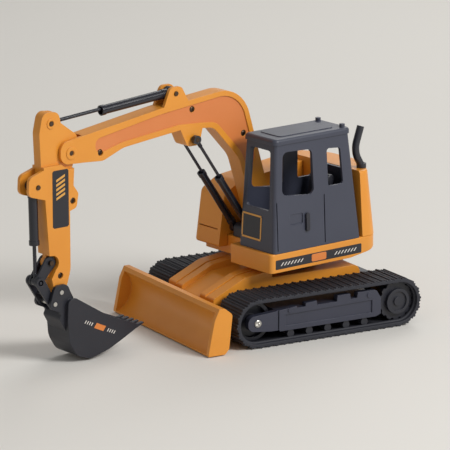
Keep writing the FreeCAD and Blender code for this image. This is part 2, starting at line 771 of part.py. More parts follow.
def make_exhaust():
    """Exhaust pipe behind the cab: it leans to the front, bends and ends leaning back."""
    y, radius, bore_depth = 30, 2.4, 6
    foot, bend, tip = (-42.4, 101.3), (-35.9, 112), (-41.5, 128)
    start, middle, end = (Vector(p.x, y, p.y) for p in round_corner(bend, foot, tip, 14))
    foot, tip = Vector(foot[0], y, foot[1]), Vector(tip[0], y, tip[1])
    path = Part.Wire([Part.makeLine(foot, start), Part.Arc(start, middle, end).toShape(),
                      Part.makeLine(end, tip)])
    mouth = Part.Wire(Part.makeCircle(radius, foot, start - foot))
    pipe = path.makePipeShell([mouth], True, True)
    collar = Part.makeCylinder(radius + 0.8, 3, Vector(foot.x, y, float(size("body_top"))))
    way = (end - tip).normalize()
    bore = Part.makeCylinder(radius - 0.7, bore_depth + 1, tip - way, way)
    keep(plain("exhaust_stack", pipe.fuse(collar).cut(bore).removeSplitter()), upper)


def make_boom_bracket():
    """Foot of the boom: a base with two cheeks and the lug of the boom cylinders."""
    body = new_body("boom_bracket")
    middle, half = size("boom_middle"), size("boom_width") / 2
    floor = size("deck_top")
    foot, ram = point("boom_foot"), point("boom_cylinder_foot")
    pad(body, "XY", floor, 2, rectangle(-4, 29.5, middle - half - 3, middle + half + 3, 2))
    cheek = [(0, floor), (22.5, floor), (22.5, 64), (19.5, 76.5, 5), (6.5, 76.5, 5), (2.5, 64)]
    for y in (middle - half - 2.8, middle + half + 0.4):
        pad(body, "XZ", y, 2.4, cheek)
    pad(body, "XZ", middle - half + 0.5, half * 2 - 1, [(23, floor + 1), (31, floor + 1), (31, 66, 3.9), (23, 66, 3.9)])
    hole = size("pin_radius") + size("pin_fit")
    pocket(body, "XZ", middle - half - 4, half * 2 + 8, circle(foot, hole), circle(ram, hole))
    keep(body, upper)


def across(name, place, half_length, radius, middle=None):
    """A pin across the machine, centred on the boom."""
    middle = size("boom_middle") if middle is None else middle
    return cylinder(name, "Y", (place[0], middle - half_length, place[1]), radius, as_size(half_length) * 2)


def make_upper_pins():
    foot = across("boom_foot_pin", point("boom_foot"), 9.4, size("pin_radius"))
    ram = across("ram_foot_pin", point("boom_cylinder_foot"), 11, size("pin_radius"))
    keep(group("upper_pins", [foot, ram]), upper)


def make_drives():
    """Motors and circuit board under the tail casing."""
    can = cylinder("swing_can", "Z", (-45, -2, 57), 6.5, 22)
    shaft = cylinder("swing_pinion", "Z", (-45, -2, 50), 2, 7)
    keep(join("swing_motor", [can, shaft]), upper)
    gearcase = box("boom_gearcase", (-46, -25, 57), (-38.5, -13, 72))
    can = cylinder("boom_can", "Z", (-42.3, -19, 72), 3.7, 14)
    keep(join("boom_motor", [gearcase, can]), upper)
    board = box("board_plate", (-42, 8, 58), (-40.5, 27, 86))
    chips = [box(f"chip_{n}", (-40.5, y, z), (-39.3, y + 6, z + 6)) for n, (y, z) in enumerate(((11, 64), (19, 74)))]
    keep(join("circuit_board", [board, *chips]), upper)


# Boom

def half_span(side, inner, outer):
    """Start and length along Y of a layer of one moulded half, measured from the parting plane."""
    middle = size("boom_middle")
    inner, outer = as_size(inner), as_size(outer)
    return (middle + inner if side > 0 else middle - outer), outer - inner


BOOM_SIDE = [
    (179.1, 128.3, 6.2), (179.1, 142.0, 6.2), (100, 153.6, 120), (33.0, 160.2, 24), (2.6, 60, 7.6),
    (19.2, 60, 7.6), (36.0, 112.5, 18), (57, 135.5, 10), (66, 136.2), (68.6, 125.6, 3.8),
    (78.4, 125.6, 3.8), (84, 137.4), (130, 132.6, 20), (146, 126.4, 9), (160, 127.4, 20),
]
BOOM_PANEL = [
    (152, 130.7, 4.5), (152, 140.9, 4.5), (100, 149.8, 100), (35.6, 156.7, 20.5), (20.8, 108, 3),
    (30.8, 108, 3), (33.2, 115.5, 14), (54.6, 138.6, 10), (66, 139.8), (85, 140.9), (130, 136.2, 20),
]


def make_boom_half(name, side):
    """One moulded half of the boom, with its cylinder lug and the recessed panel of its side."""
    body = new_body(f"boom_half_{name}")
    half = size("boom_width") / 2
    pivot, foot = point("arm_pivot"), point("boom_foot")
    ram, arm_ram = point("boom_bracket"), point("arm_cylinder_foot")
    start, length = half_span(side, 0, half)
    pad(body, "XZ", start, length, BOOM_SIDE)
    start, length = half_span(side, half - 2.4, half)
    pad(body, "XZ", start, length, [(98, 152), (92, 166, 4), (83.2, 166, 4), (76, 153)])
    start, length = half_span(side, half - 0.8, half + 1)
    pocket(body, "XZ", start, length, BOOM_PANEL)
    start, length = half_span(side, -1, half - 2.2)
    pocket(body, "XZ", start, length, circle(pivot, 13.6))
    start, length = half_span(side, -1, half - 1.4)
    motor_bay = [(120, 137.5), (150, 133, 2), (150, 140.5, 2), (120, 145.5)]
    pocket(body, "XZ", start, length, motor_bay)
    hole = size("pin_radius") + size("pin_fit")
    start, length = half_span(side, -1, half + 2)
    pocket(body, "XZ", start, length, circle(pivot, hole), circle(foot, hole))
    pocket(body, "XZ", start, length, circle(ram, hole), circle(arm_ram, hole))
    for place in BOOM_SCREWS:
        start, length = half_span(side, half - 1.6, half + 2)
        pocket(body, "XZ", start, length, circle(place, 2.1))
    keep(body, upper)


BOOM_SCREWS = [(148, 131.9), (74, 149.5), (31.5, 128)]


def side_screws(name, places, outer):
    """Small round-headed screws sunk in the left half."""
    middle = size("boom_middle")
    screws = []
    for n, (x, z) in enumerate(places):
        head = cylinder(f"{name}_head_{n}", "Y", (x, middle + outer - 1.6, z), 1.9, 1.1)
        screws.append(head)
    keep(group(name, screws), upper)


def make_boom_pins():
    half = size("boom_width") / 2
    nose = across("boom_nose_pin", point("arm_pivot"), half, size("pin_radius"))
    top = across("boom_top_pin", point("arm_cylinder_foot"), half + 0.8, size("pin_radius"))
    bottom = across("boom_bottom_pin", point("boom_bracket"), 10.6, size("pin_radius"))
    keep(group("boom_pins", [nose, top, bottom]), upper)


def micro_motor(label, place, way, length):
    """A small flat-sided motor lying inside a moulded half pair."""
    x, z = place
    middle = float(size("boom_middle"))
    angle = math.degrees(math.atan2(way[1], way[0]))
    can = Part.makeCylinder(2.9, length, Vector(), Vector(1, 0, 0))
    tip = Part.makeCylinder(0.8, length + 4, Vector(), Vector(1, 0, 0))
    motor = can.fuse(tip).removeSplitter()
    motor.Placement = Placement(Vector(x, middle, z), Rotation(Vector(0, -1, 0), angle))
    return plain(label, motor)


# Arm

ARM_HEAD = [
    (168.9, 124), (165.4, 134), (164.6, 145.4, 2.5), (177.0, 154.6), (178.8, 161.8, 4.5), (190.6, 163, 5),
    (193.6, 150, 12), (192.4, 124),
]
ARM_LOWER = [
    (192.3, 128.6), (192.3, 120), (190.2, 91), (188.4, 68), (187.6, 59), (185.2, 48), (185.2, 43.4, 3.2), (177.6, 43.4, 3.4),
    (172.4, 60, 20), (172.4, 98), (167.2, 99.5, 3), (165.6, 108.5, 3.5), (169.4, 114), (168.6, 128.6),
]


def make_arm_half(name, side):
    """One moulded half of the arm: a narrow head in the boom's fork and a full-width lower part."""
    body = new_body(f"arm_half_{name}")
    half, head = size("boom_width") / 2, size("head_width") / 2
    pivot, bucket_pivot, rocker = point("arm_pivot"), point("bucket_pivot"), point("rocker_pivot")
    arm_head, lug = point("arm_head"), point("arm_lug")
    start, length = half_span(side, 0, head)
    pad(body, "XZ", start, length, ARM_HEAD)
    start, length = half_span(side, 0, half)
    pad(body, "XZ", start, length, ARM_LOWER)
    start, length = half_span(side, half - 2.4, half)
    pad(body, "XZ", start, length, [(190, 127.6), (203.6, 123.2, 4), (204.2, 111.8, 4), (189, 107)])
    start, length = half_span(side, 0, 1.6)
    pad(body, "XZ", start, length, circle(rocker, 4))
    start, length = half_span(side, head, half + 1)
    pocket(body, "XZ", start, length, circle(pivot, 9.8))
    start, length = half_span(side, 1.6, half + 1)
    notch_mouth = [(182.5, 63.8), (188.8, 53.3), (196, 55), (193, 72), (187, 71.2)]
    pocket(body, "XZ", start, length, circle(rocker, 5))
    pocket(body, "XZ", start, length, notch_mouth)
    start, length = half_span(side, -1, 1.5)
    pocket(body, "XZ", start, length, circle(arm_head, 3.4))
    slot = [(186.5, 152), (184, 150.5), (160, 138.5), (155, 150), (160, 172), (186.5, 172)]
    pocket(body, "XZ", start, length, slot)
    start, length = half_span(side, -1, half - 1.4)
    pocket(body, "XZ", start, length, [(175, 76), (185, 76), (186.5, 104), (175, 104)])
    hole = size("pin_radius") + size("pin_fit")
    start, length = half_span(side, -1, half + 2)
    pocket(body, "XZ", start, length, circle(pivot, hole), circle(bucket_pivot, hole))
    pocket(body, "XZ", start, length, circle(rocker, hole), circle(arm_head, hole), circle(lug, hole))
    for place in ARM_SCREWS:
        start, length = half_span(side, half - 1.6, half + 2)
        pocket(body, "XZ", start, length, circle(place, 2.1))
    keep(body, upper)


ARM_SCREWS = [(180.3, 57.5), (170, 104.2)]


def make_arm_pins():
    half, head = size("boom_width") / 2, size("head_width") / 2
    top = across("arm_head_pin", point("arm_head"), head + 0.7, size("pin_radius"))
    lug = across("arm_lug_pin", point("arm_lug"), half + 0.8, size("pin_radius"))
    rocker = across("arm_rocker_pin", point("rocker_pivot"), half - 0.4, size("pin_radius"))
    keep(group("arm_pins", [top, lug, rocker]), upper)


# Bucket and its linkage

BUCKET_SIDE = [
    (125, 14.6), (136, 9.4, 60), (147, 4.6, 30), (161, 1.2, 12), (171.5, 4.2, 10), (177.8, 14.5, 14),
    (178.9, 28), (178.3, 41.8, 3), (172.3, 42.6, 1.5), (147.5, 27.2, 60), (124, 17.4),
]
BUCKET_INSIDE = [
    (120, 18.6), (136.6, 11.3, 60), (147.6, 6.4, 30), (161.3, 3.2, 10.2), (170.4, 5.7, 8.2), (176, 15, 12),
    (177, 28), (176.4, 39), (171.8, 44), (171.8, 60), (120, 60),
]


def make_bucket():
    """Bucket shell with side plates, a curved floor and the two ears that carry it."""
    body = new_body("bucket_shell")
    middle, half, wall = size("boom_middle"), size("bucket_width") / 2, size("bucket_wall")
    pad(body, "XZ", middle - half, half * 2, BUCKET_SIDE)
    pocket(body, "XZ", middle - half + wall, (half - wall) * 2, BUCKET_INSIDE)
    ear = [(172.5, 34), (172.5, 41.5), (177.0, 52.2, 4.5), (186.6, 52.2, 4.5), (191.2, 38.0, 3.6), (183, 34.5, 3),
           (178.9, 24), (177.2, 24), (177.2, 34)]
    for side in (1, -1):
        start = middle + 6.4 if side > 0 else middle - 8.8
        pad(body, "XZ", start, 2.4, ear)
    bar = [(177.2, 22), (178.9, 22), (183.5, 30, 2), (181.5, 34.5), (177.2, 34.5)]
    pad(body, "XZ", middle - 8.8, 17.6, bar)
    hole = size("pin_radius") + size("pin_fit")
    pocket(body, "XZ", middle - 12, 24, circle(point("bucket_pivot"), hole), circle(point("link_pin"), hole))
    keep(body, upper)


def make_bucket_teeth():
    """Five wedge teeth along the bucket's cutting edge."""
    middle, half = float(size("boom_middle")), float(size("bucket_width")) / 2
    count, width = 5, 2.4
    first = middle - half
    pitch = (2 * half - width) / (count - 1)
    teeth = []
    for n in range(count):
        body = new_body(f"tooth_{n}")
        pad(body, "XZ", first + n * pitch, width, [(118.6, 17.2), BUCKET_SIDE[0], BUCKET_SIDE[-1], (119, 18)])
        teeth.append(body)
    keep(group("bucket_teeth", teeth), upper)


def make_bucket_pins():
    pivot = across("bucket_pivot_pin", point("bucket_pivot"), 9.2, size("pin_radius"))
    link = across("bucket_link_pin", point("link_pin"), 9.2, size("pin_radius"))
    keep(group("bucket_pins", [pivot, link]), upper)


def plate_between(first, second, first_radius, second_radius):
    """Outline of a link plate with a rounded end at each of its pins, as a solid face's wire."""
    a = Vector(float(first[0]), 0, float(first[1]))
    b = Vector(float(second[0]), 0, float(second[1]))
    way = b - a
    tilt = math.asin((first_radius - second_radius) / way.Length)
    way.normalize()
    square = Vector(-way.z, 0, way.x)
    edge = square * math.cos(tilt) + way * math.sin(tilt)
    other = square * -math.cos(tilt) + way * math.sin(tilt)
    a1, a2 = a + edge * first_radius, a + other * first_radius
    b1, b2 = b + edge * second_radius, b + other * second_radius
    back = Part.Arc(a2, a - way * first_radius, a1).toShape()
    tip = Part.Arc(b1, b + way * second_radius, b2).toShape()
    return Part.Wire([Part.makeLine(a1, b1), tip, Part.makeLine(b2, a2), back])


def link_plate(first, second, radii, holes, y_low, y_high):
    """A flat link with an eye at each end."""
    face = Part.Face(plate_between(first, second, *radii))
    plate = face.extrude(Vector(0, y_high - y_low, 0))
    plate.translate(Vector(0, y_low, 0))
    for place, radius in zip((first, second), holes):
        where = Vector(float(place[0]), y_low - 1, float(place[1]))
        plate = plate.cut(Part.makeCylinder(radius, y_high - y_low + 2, where, Vector(0, 1, 0)))
    return plate


def make_rocker():
    """Rocker of the bucket linkage: two cheeks joined by the crank pin."""
    middle = float(size("boom_middle"))
    pivot, crank = point("rocker_pivot"), point("crank_pin")
    hole = float(size("pin_radius") + size("pin_fit"))
    shape = None
    for low in (1.9, -3.7):
        cheek = link_plate(pivot, crank, (4.2, 3.0), (hole, 0.5), middle + low, middle + low + 1.8)
        shape = cheek if shape is None else shape.fuse(cheek)
    pin = Part.makeCylinder(1.0, 12, Vector(float(crank[0]), middle - 6, float(crank[1])), Vector(0, 1, 0))
    keep(plain("rocker", shape.fuse(pin).removeSplitter()), upper)


def make_bucket_link():
    """Link from the crank pin to the bucket: two plates with a tie bar between them."""
    middle = float(size("boom_middle"))
    crank, pin = point("crank_pin"), point("link_pin")
    hole = float(size("pin_radius") + size("pin_fit"))
    shape = None
    for low in (4.1, -6.0):
        plate = link_plate(crank, pin, (3.3, 2.9), (1.9, hole), middle + low, middle + low + 1.9)
        shape = plate if shape is None else shape.fuse(plate)
    x = float(crank[0]) * 0.42 + float(pin[0]) * 0.58
    z = float(crank[1]) * 0.42 + float(pin[1]) * 0.58
    bar = Part.makeCylinder(1.1, 12, Vector(x, middle - 6, z), Vector(0, 1, 0))
    keep(plain("bucket_link", shape.fuse(bar).removeSplitter()), upper)


# Cylinders

def lean(foot, head, degrees):
    """Unit vector from one pin to the other, turned by a small angle in the side view."""
    angle = math.atan2(float(head[1]) - float(foot[1]), float(head[0]) - float(foot[0]))
    angle += math.radians(degrees)
    return Vector(math.cos(angle), 0, math.sin(angle))


def eye(place, way, y, radius, half_width, hole):
    """Rounded pin end of a cylinder and the boss that joins it to the tube."""
    at = Vector(float(place[0]), y - half_width, float(place[1]))
    ring = Part.makeCylinder(radius, 2 * half_width, at, Vector(0, 1, 0))
    bore = Part.makeCylinder(hole, 2 * half_width + 2, at - Vector(0, 1, 0), Vector(0, 1, 0))
    return ring, bore


def make_barrel(label, foot, head, y, turn, sizes):
    """Cylinder barrel: an eye, a tube with a blind bore and a raised collar at its mouth."""
    length, outer, bore_radius, bore_start, half_width = sizes
    way = lean(foot, head, turn)
    hole = float(size("pin_radius") + size("pin_fit"))
    ring, pin_bore = eye(foot, way, y, outer + 0.7, half_width, hole)
    at = Vector(float(foot[0]), y, float(foot[1]))
    tube = Part.makeCylinder(outer, length - outer, at + way * outer, way)
    collar = Part.makeCylinder(outer + 0.35, 3, at + way * (length - 3), way)
    cap = Part.makeCylinder(outer + 0.3, 2.5, at + way * (outer + 2), way)
    bore = Part.makeCylinder(bore_radius, length, at + way * bore_start, way)
    shape = ring.fuse([tube, collar, cap]).cut(bore).cut(pin_bore).removeSplitter()
    keep(plain(label, shape), upper)


def make_rod(label, foot, head, y, turn, sizes):
    """Piston rod with its eye, lying along the barrel."""
    length, radius, eye_radius, half_width, hole = sizes
    way = lean(foot, head, turn) * -1
    ring, pin_bore = eye(head, way, y, eye_radius, half_width, hole)
    at = Vector(float(head[0]), y, float(head[1]))
    rod = Part.makeCylinder(radius, length - eye_radius * 0.6, at + way * eye_radius * 0.6, way)
    neck_radius = min(radius + 0.6, half_width - 0.15)
    neck = Part.makeCylinder(neck_radius, eye_radius + 1.2, at + way * (hole + 0.2), way)
    shape = ring.fuse([rod, neck]).cut(pin_bore).removeSplitter()
    keep(plain(label, shape), upper)


def make_cylinders():
    middle = float(size("boom_middle"))
    hole = float(size("pin_radius") + size("pin_fit"))
    foot, head = point("boom_cylinder_foot"), point("boom_bracket")
    for name, side in SIDES.items():
        y = middle + side * float(size("cylinder_offset"))
        make_barrel(f"boom_barrel_{name}", foot, head, y, -0.4, (50, 2.5, 1.95, 21, 1.8))
        make_rod(f"boom_rod_{name}", foot, head, y, -0.4, (50, 1.0, 2.9, 1.5, hole))
    foot, head = point("arm_cylinder_foot"), point("arm_head")
    make_barrel("arm_barrel", foot, head, middle, -0.6, (56, 3.0, 2.5, 23, 3.2))
    make_rod("arm_rod", foot, head, middle, -0.6, (60, 1.2, 2.9, 1.3, hole))
    foot, head = point("arm_lug"), point("crank_pin")
    make_barrel("bucket_barrel", foot, head, middle, 0.0, (38, 3.0, 2.3, 12, 3.2))
    make_rod("bucket_rod", foot, head, middle, 0.0, (40, 1.2, 2.7, 1.6, 1.08))


def check_everything():
    """Refuse to write anything while an object has failed or a shape is empty or broken."""
    doc.recompute()
    for thing in doc.Objects:
        if "Invalid" in thing.State or "Error" in thing.State:
            raise ValueError(f"{thing.Label} failed: {thing.State}")
    for thing in nodes:
        if thing.Shape.isNull() or not thing.Shape.isValid():
            raise ValueError(f"{thing.Label} has no valid shape")


def build():
    make_chassis()
    make_chassis_screws()
    make_chassis_cover()
    make_turntable_ring()
    for name, side in SIDES.items():
        make_track_frame(name, side)
        make_rollers(name, side)
        make_track_belt(name, side)
        make_idler(name, side)
        make_sprocket(name, side)
        make_drive_gearbox(name, side)
    make_idler_axles()
    make_battery()
    make_power_switch()
    make_blade()
    make_turntable_plate()
    make_deck()
    make_rear_body()
    make_engine_hood()
    make_cab()
    make_roof()
    make_seat()
    make_levers()
    make_exhaust()
    make_boom_bracket()
    make_upper_pins()
    make_drives()
    for name, side in SIDES.items():
        make_boom_half(name, side)
        make_arm_half(name, side)
    side_screws("boom_screws", BOOM_SCREWS, size("boom_width") / 2)
    make_boom_pins()
    keep(micro_motor("arm_motor", (123, 141.2), (30, -4.6), 18), upper)
    side_screws("arm_screws", ARM_SCREWS, size("boom_width") / 2)
    make_arm_pins()
    keep(micro_motor("bucket_motor", (180, 78.5), (0.05, 1), 18), upper)
    make_bucket()
    make_bucket_teeth()
    make_bucket_pins()
    make_rocker()
    make_bucket_link()
    make_cylinders()
    check_everything()
    os.makedirs("parts", exist_ok=True)
    for thing in nodes:
        thing.Shape.exportStep(f"parts/{thing.Label}.step")
        print(thing.Label, round(thing.Shape.Volume), "mm3", len(thing.Shape.Solids), "solids")


build()
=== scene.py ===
# %% [markdown]
# A radio-controlled toy excavator, dressed for its portrait
#
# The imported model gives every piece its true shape, size and place. This lesson turns it into
# something that looks moulded, screwed and assembled: edges get the small round that a mould
# leaves, each plastic gets its grain, and the things that repeat, such as track shoes, screws
# and printed marks, are laid out by Geometry Nodes.

# %% Load the frame
import json
import math

import bmesh
import bpy
from mathutils import Matrix, Vector


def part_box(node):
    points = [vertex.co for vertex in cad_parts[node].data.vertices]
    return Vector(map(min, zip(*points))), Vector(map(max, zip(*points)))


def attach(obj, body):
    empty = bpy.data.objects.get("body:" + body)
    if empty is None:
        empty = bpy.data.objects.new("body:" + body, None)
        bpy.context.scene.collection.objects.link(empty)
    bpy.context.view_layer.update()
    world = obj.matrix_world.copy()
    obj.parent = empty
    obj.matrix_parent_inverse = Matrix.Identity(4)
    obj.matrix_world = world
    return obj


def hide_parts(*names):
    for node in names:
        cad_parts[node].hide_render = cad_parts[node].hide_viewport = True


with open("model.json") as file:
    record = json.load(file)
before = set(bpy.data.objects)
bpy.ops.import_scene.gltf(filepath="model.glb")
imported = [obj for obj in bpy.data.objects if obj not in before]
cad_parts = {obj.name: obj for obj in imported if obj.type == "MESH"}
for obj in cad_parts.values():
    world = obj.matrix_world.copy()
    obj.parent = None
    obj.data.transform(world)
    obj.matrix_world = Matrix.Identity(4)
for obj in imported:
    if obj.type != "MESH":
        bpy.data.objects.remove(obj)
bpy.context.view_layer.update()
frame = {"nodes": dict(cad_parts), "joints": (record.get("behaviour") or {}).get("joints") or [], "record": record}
nodes = frame["nodes"]
print("pieces in the frame:", len(nodes))

# %% [markdown]
# Units and directions
#
# Blender works in metres and the toy is measured in millimetres, so every size below is written
# in millimetres times MM. The upper structure stands turned a little to the left of the tracks.
# The boom's hinge lies square to that direction, so the turn is read from the hinge's axis.

# %% Sizes read from the frame
MM = 0.001
joints = {joint["name"]: joint for joint in frame["joints"]}
bodies = frame["record"]["behaviour"]["bodies"]
body_of = {node: body for body, members in bodies.items() for node in members}
hinge_axis = joints["boom_raise"]["axis"]
swing = math.atan2(hinge_axis[0], -hinge_axis[1])
turn = Matrix.Rotation(swing, 4, "Z")
print("upper structure is turned by", round(math.degrees(swing), 2), "degrees")


def pivot(name):
    """A joint's place in the upper structure's own straight-ahead millimetres."""
    return (turn.inverted() @ Vector(joints[name]["pos_m"])) / MM


boom_middle = pivot("boom_raise").y
print("boom stands", round(boom_middle, 1), "mm from the middle")

# %% [markdown]
# Colours and nodes
#
# A material is a small tree of nodes. One function adds a node, sets its values and makes its
# links. Another turns the hex colours of a paint chart, which are sRGB, into the linear values
# that the renderer works in.

# %% Node and colour helpers


def linear(hex_colour):
    """The linear red, green, blue and alpha of an sRGB hex colour."""
    parts = [int(hex_colour[i:i + 2], 16) / 255 for i in (1, 3, 5)]
    return [p / 12.92 if p <= 0.04045 else ((p + 0.055) / 1.055) ** 2.4 for p in parts] + [1.0]


def add_node(tree, kind, settings=(), links=()):
    """Add a node, set its properties and inputs by name or number, and link its inputs."""
    made = tree.nodes.new(kind)
    for name, value in dict(settings).items():
        if isinstance(name, int) or name in made.inputs:
            made.inputs[name].default_value = value
        else:
            setattr(made, name, value)
    for name, source in dict(links).items():
        tree.links.new(source, made.inputs[name])
    return made


def new_material(name):
    material = bpy.data.materials.new(name)
    material.use_nodes = True
    material.node_tree.nodes.clear()
    return material, material.node_tree


# %% [markdown]
# Moulded plastic
#
# ABS comes out of a steel mould whose walls were spark-eroded, so it carries a fine even grain
# and a satin gloss. The colour goes right through and drifts a little across a moulding, where
# the melt cooled faster. Outer corners are painted paler, partly as wear from handling and partly
# as a painted highlight along the edges: the Bevel node gives a normal that bends only near an
# edge, and its difference from the true normal finds those corners. The real grain is about
# 0.15 mm and is drawn at 0.4 mm so that it shows.

# %% Moulded plastic and rubber


def moulded_plastic(name, colour, deeper, corner_wear_and_highlight, roughness, grain_mm=0.4, depth_mm=0.012):
    material, tree = new_material(name)
    place = add_node(tree, "ShaderNodeTexCoord")
    grain = add_node(tree, "ShaderNodeTexNoise", {"Scale": 1 / (grain_mm * MM), "Detail": 3.0},
                     {"Vector": place.outputs["Object"]})
    flow = add_node(tree, "ShaderNodeTexNoise", {"Scale": 1 / (28 * MM), "Detail": 2.0},
                    {"Vector": place.outputs["Object"]})
    tint = add_node(tree, "ShaderNodeMix", {"data_type": "RGBA", 6: linear(colour), 7: linear(deeper)},
                    {0: flow.outputs["Fac"]})
    true_side = add_node(tree, "ShaderNodeNewGeometry")
    corner = add_node(tree, "ShaderNodeBevel", {"samples": 4, "Radius": 0.3 * MM})
    alike = add_node(tree, "ShaderNodeVectorMath", {"operation": "DOT_PRODUCT"},
                     {0: corner.outputs["Normal"], 1: true_side.outputs["Normal"]})
    # Paler corners: partly wear from handling, partly a painted highlight along the edges
    corner_wear_and_highlight_mask = add_node(tree, "ShaderNodeMapRange", {"From Min": 0.99, "From Max": 0.8, "To Max": 0.55},
                    {"Value": alike.outputs["Value"]})
    corner_wear_and_highlight_mixed = add_node(tree, "ShaderNodeMix", {"data_type": "RGBA", 7: linear(corner_wear_and_highlight)},
                    {0: corner_wear_and_highlight_mask.outputs["Result"], 6: tint.outputs[2]})
    gloss = add_node(tree, "ShaderNodeMapRange", {"To Min": roughness - 0.06, "To Max": roughness + 0.06},
                     {"Value": flow.outputs["Fac"]})
    bump = add_node(tree, "ShaderNodeBump", {"Strength": 0.35, "Distance": depth_mm * MM},
                    {"Height": grain.outputs["Fac"], "Normal": corner.outputs["Normal"]})
    shader = add_node(tree, "ShaderNodeBsdfPrincipled", {"IOR": 1.52},
                      {"Base Color": corner_wear_and_highlight_mixed.outputs[2], "Roughness": gloss.outputs["Result"],
                       "Normal": bump.outputs["Normal"]})
    add_node(tree, "ShaderNodeOutputMaterial", links={"Surface": shader.outputs["BSDF"]})
    return material


# Warm yellow ABS: the strong colour of the whole toy, satin, with paler corners that are partly wear and partly a
# painted highlight
YELLOW = moulded_plastic("yellow_moulded_abs", "#DF9432", "#D28528", "#F0B25A", 0.36)
# Orange ink on yellow ABS: redder and flatter than the plastic round it
ORANGE = moulded_plastic("orange_ink_on_abs", "#D58046", "#C9743B", "#E09A58", 0.42)
# Slate ABS: a blue grey, with pale lines at the cab's corners that are partly wear and partly a painted highlight
SLATE = moulded_plastic("slate_moulded_abs", "#3B3E4C", "#343745", "#5B6072", 0.4)
# Slate ABS darkened as painted shade for the track frames, which sit in shade
SHADED_SLATE = moulded_plastic("slate_abs_with_painted_shade", "#333544", "#2C2E3B", "#505466", 0.44)
# Black ABS of the bucket and linkage: blue black with a low sheen
BLACK = moulded_plastic("black_moulded_abs", "#22232C", "#1B1C24", "#3A3C48", 0.42)
# Polished black ABS of the cylinders: sharper, longer highlights
GLOSS_BLACK = moulded_plastic("polished_black_abs", "#1E1F28", "#191A22", "#343642", 0.22, depth_mm=0.004)
# Rubber of the tracks: nearly no shine, coarse grain
RUBBER = moulded_plastic("moulded_track_rubber", "#25262F", "#1D1E26", "#363842", 0.66,
                         grain_mm=0.7, depth_mm=0.04)
# Printed film: flat inks with a slight sheen
BLACK_FILM = moulded_plastic("black_printed_film", "#1F1F27", "#1A1A21", "#2E2E38", 0.34, depth_mm=0.003)
WHITE_FILM = moulded_plastic("white_printed_film", "#D9D3CC", "#CFC8C0", "#E4DFD8", 0.4, depth_mm=0.003)
YELLOW_FILM = moulded_plastic("yellow_printed_film", "#D8A04A", "#CE9540", "#E3B266", 0.4, depth_mm=0.003)
ORANGE_FILM = moulded_plastic("orange_printed_film", "#D77F3A", "#CB7432", "#E09450", 0.4, depth_mm=0.003)
# Lacquered board and shrink-wrapped cells, which only show when a cover is off
BOARD = moulded_plastic("lacquered_circuit_board", "#1E5C38", "#184C2E", "#3A7A54", 0.3)
WRAP = moulded_plastic("shrink_wrapped_cell", "#31569B", "#2A4C8C", "#4E72B4", 0.3)

# %% [markdown]
# Plated metal
#
# Pins and screws are turned or rolled steel with a thin coat of nickel or black zinc. Rolling
# leaves fine marks that vary the roughness, which breaks up the reflections. They are about
# 0.05 mm apart and drawn at 0.2 mm. A metal keeps the default IOR.

# %% Plated metal


def plated_metal(name, colour, roughness, mark_mm=0.2):
    material, tree = new_material(name)
    place = add_node(tree, "ShaderNodeTexCoord")
    marks = add_node(tree, "ShaderNodeTexNoise", {"Scale": 1 / (mark_mm * MM), "Detail": 2.0},
                     {"Vector": place.outputs["Object"]})
    gloss = add_node(tree, "ShaderNodeMapRange", {"To Min": roughness - 0.06, "To Max": roughness + 0.12},
                     {"Value": marks.outputs["Fac"]})
    bump = add_node(tree, "ShaderNodeBump", {"Strength": 0.2, "Distance": 0.004 * MM},
                    {"Height": marks.outputs["Fac"]})
    shader = add_node(tree, "ShaderNodeBsdfPrincipled", {"Base Color": linear(colour), "Metallic": 1.0},
                      {"Roughness": gloss.outputs["Result"], "Normal": bump.outputs["Normal"]})
    add_node(tree, "ShaderNodeOutputMaterial", links={"Surface": shader.outputs["BSDF"]})
    return material


# Nickel plate: the small bright points on the linkage and the wheels
NICKEL = plated_metal("nickel_plated_steel", "#C4C2BD", 0.26)
# Black zinc: dark screw heads and pins that read as dots on the yellow
BLACK_ZINC = plated_metal("black_zinc_plated_steel", "#5A4A3E", 0.38)
# Drawn and galvanised motor cans
GALVANISED = plated_metal("galvanised_motor_can", "#A9AAAC", 0.34)
print("materials:", len(bpy.data.materials))

# %% [markdown]
# From sharp solids to mouldings
#
# A model from CAD has edges of no radius at all, and nothing real has those: light never runs
# along them. Each solid is copied, its loose triangles are merged back into whole faces, and
# every hard corner gets a small round. A subdivision surface would do it too, but it pulls flat
# walls out of true. Curved walls are then shaded smooth while the hard edges stay crisp.

# %% Round the corners of a copied solid
HARD_TURN = math.radians(28)


def merged_copy(node):
    """The CAD node's mesh with its triangles joined into whole flat faces."""
    mesh = nodes[node].data.copy()
    form = bmesh.new()
    form.from_mesh(mesh)
    bmesh.ops.remove_doubles(form, verts=form.verts, dist=0.0005 * MM)
    bmesh.ops.dissolve_limit(form, angle_limit=math.radians(0.5), verts=form.verts, edges=form.edges)
    return mesh, form


def round_corners(form, width):
    """Round every edge where two faces turn by more than HARD_TURN."""
    if width <= 0:
        return
    corners = [e for e in form.edges if e.is_manifold and e.calc_face_angle(0) > HARD_TURN]
    bmesh.ops.bevel(form, geom=corners, offset=width, offset_type="OFFSET", segments=2, profile=0.5,
                    affect="EDGES", clamp_overlap=True)


def shade(form):
    """Smooth faces, with sharp edges where the surface turns hard."""
    for face in form.faces:
        face.smooth = True
    for edge in form.edges:
        edge.smooth = edge.is_manifold and edge.calc_face_angle(0) < math.radians(40)


def finish_form(form, mesh):
    shade(form)
    form.to_mesh(mesh)
    form.free()
    return mesh


def place_piece(name, mesh, material, body):
    """Put a finished mesh in the scene as a piece of one body."""
    piece = bpy.data.objects.new(name, mesh)
    bpy.context.scene.collection.objects.link(piece)
    mesh.materials.clear()
    mesh.materials.append(material)
    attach(piece, body)
    return piece


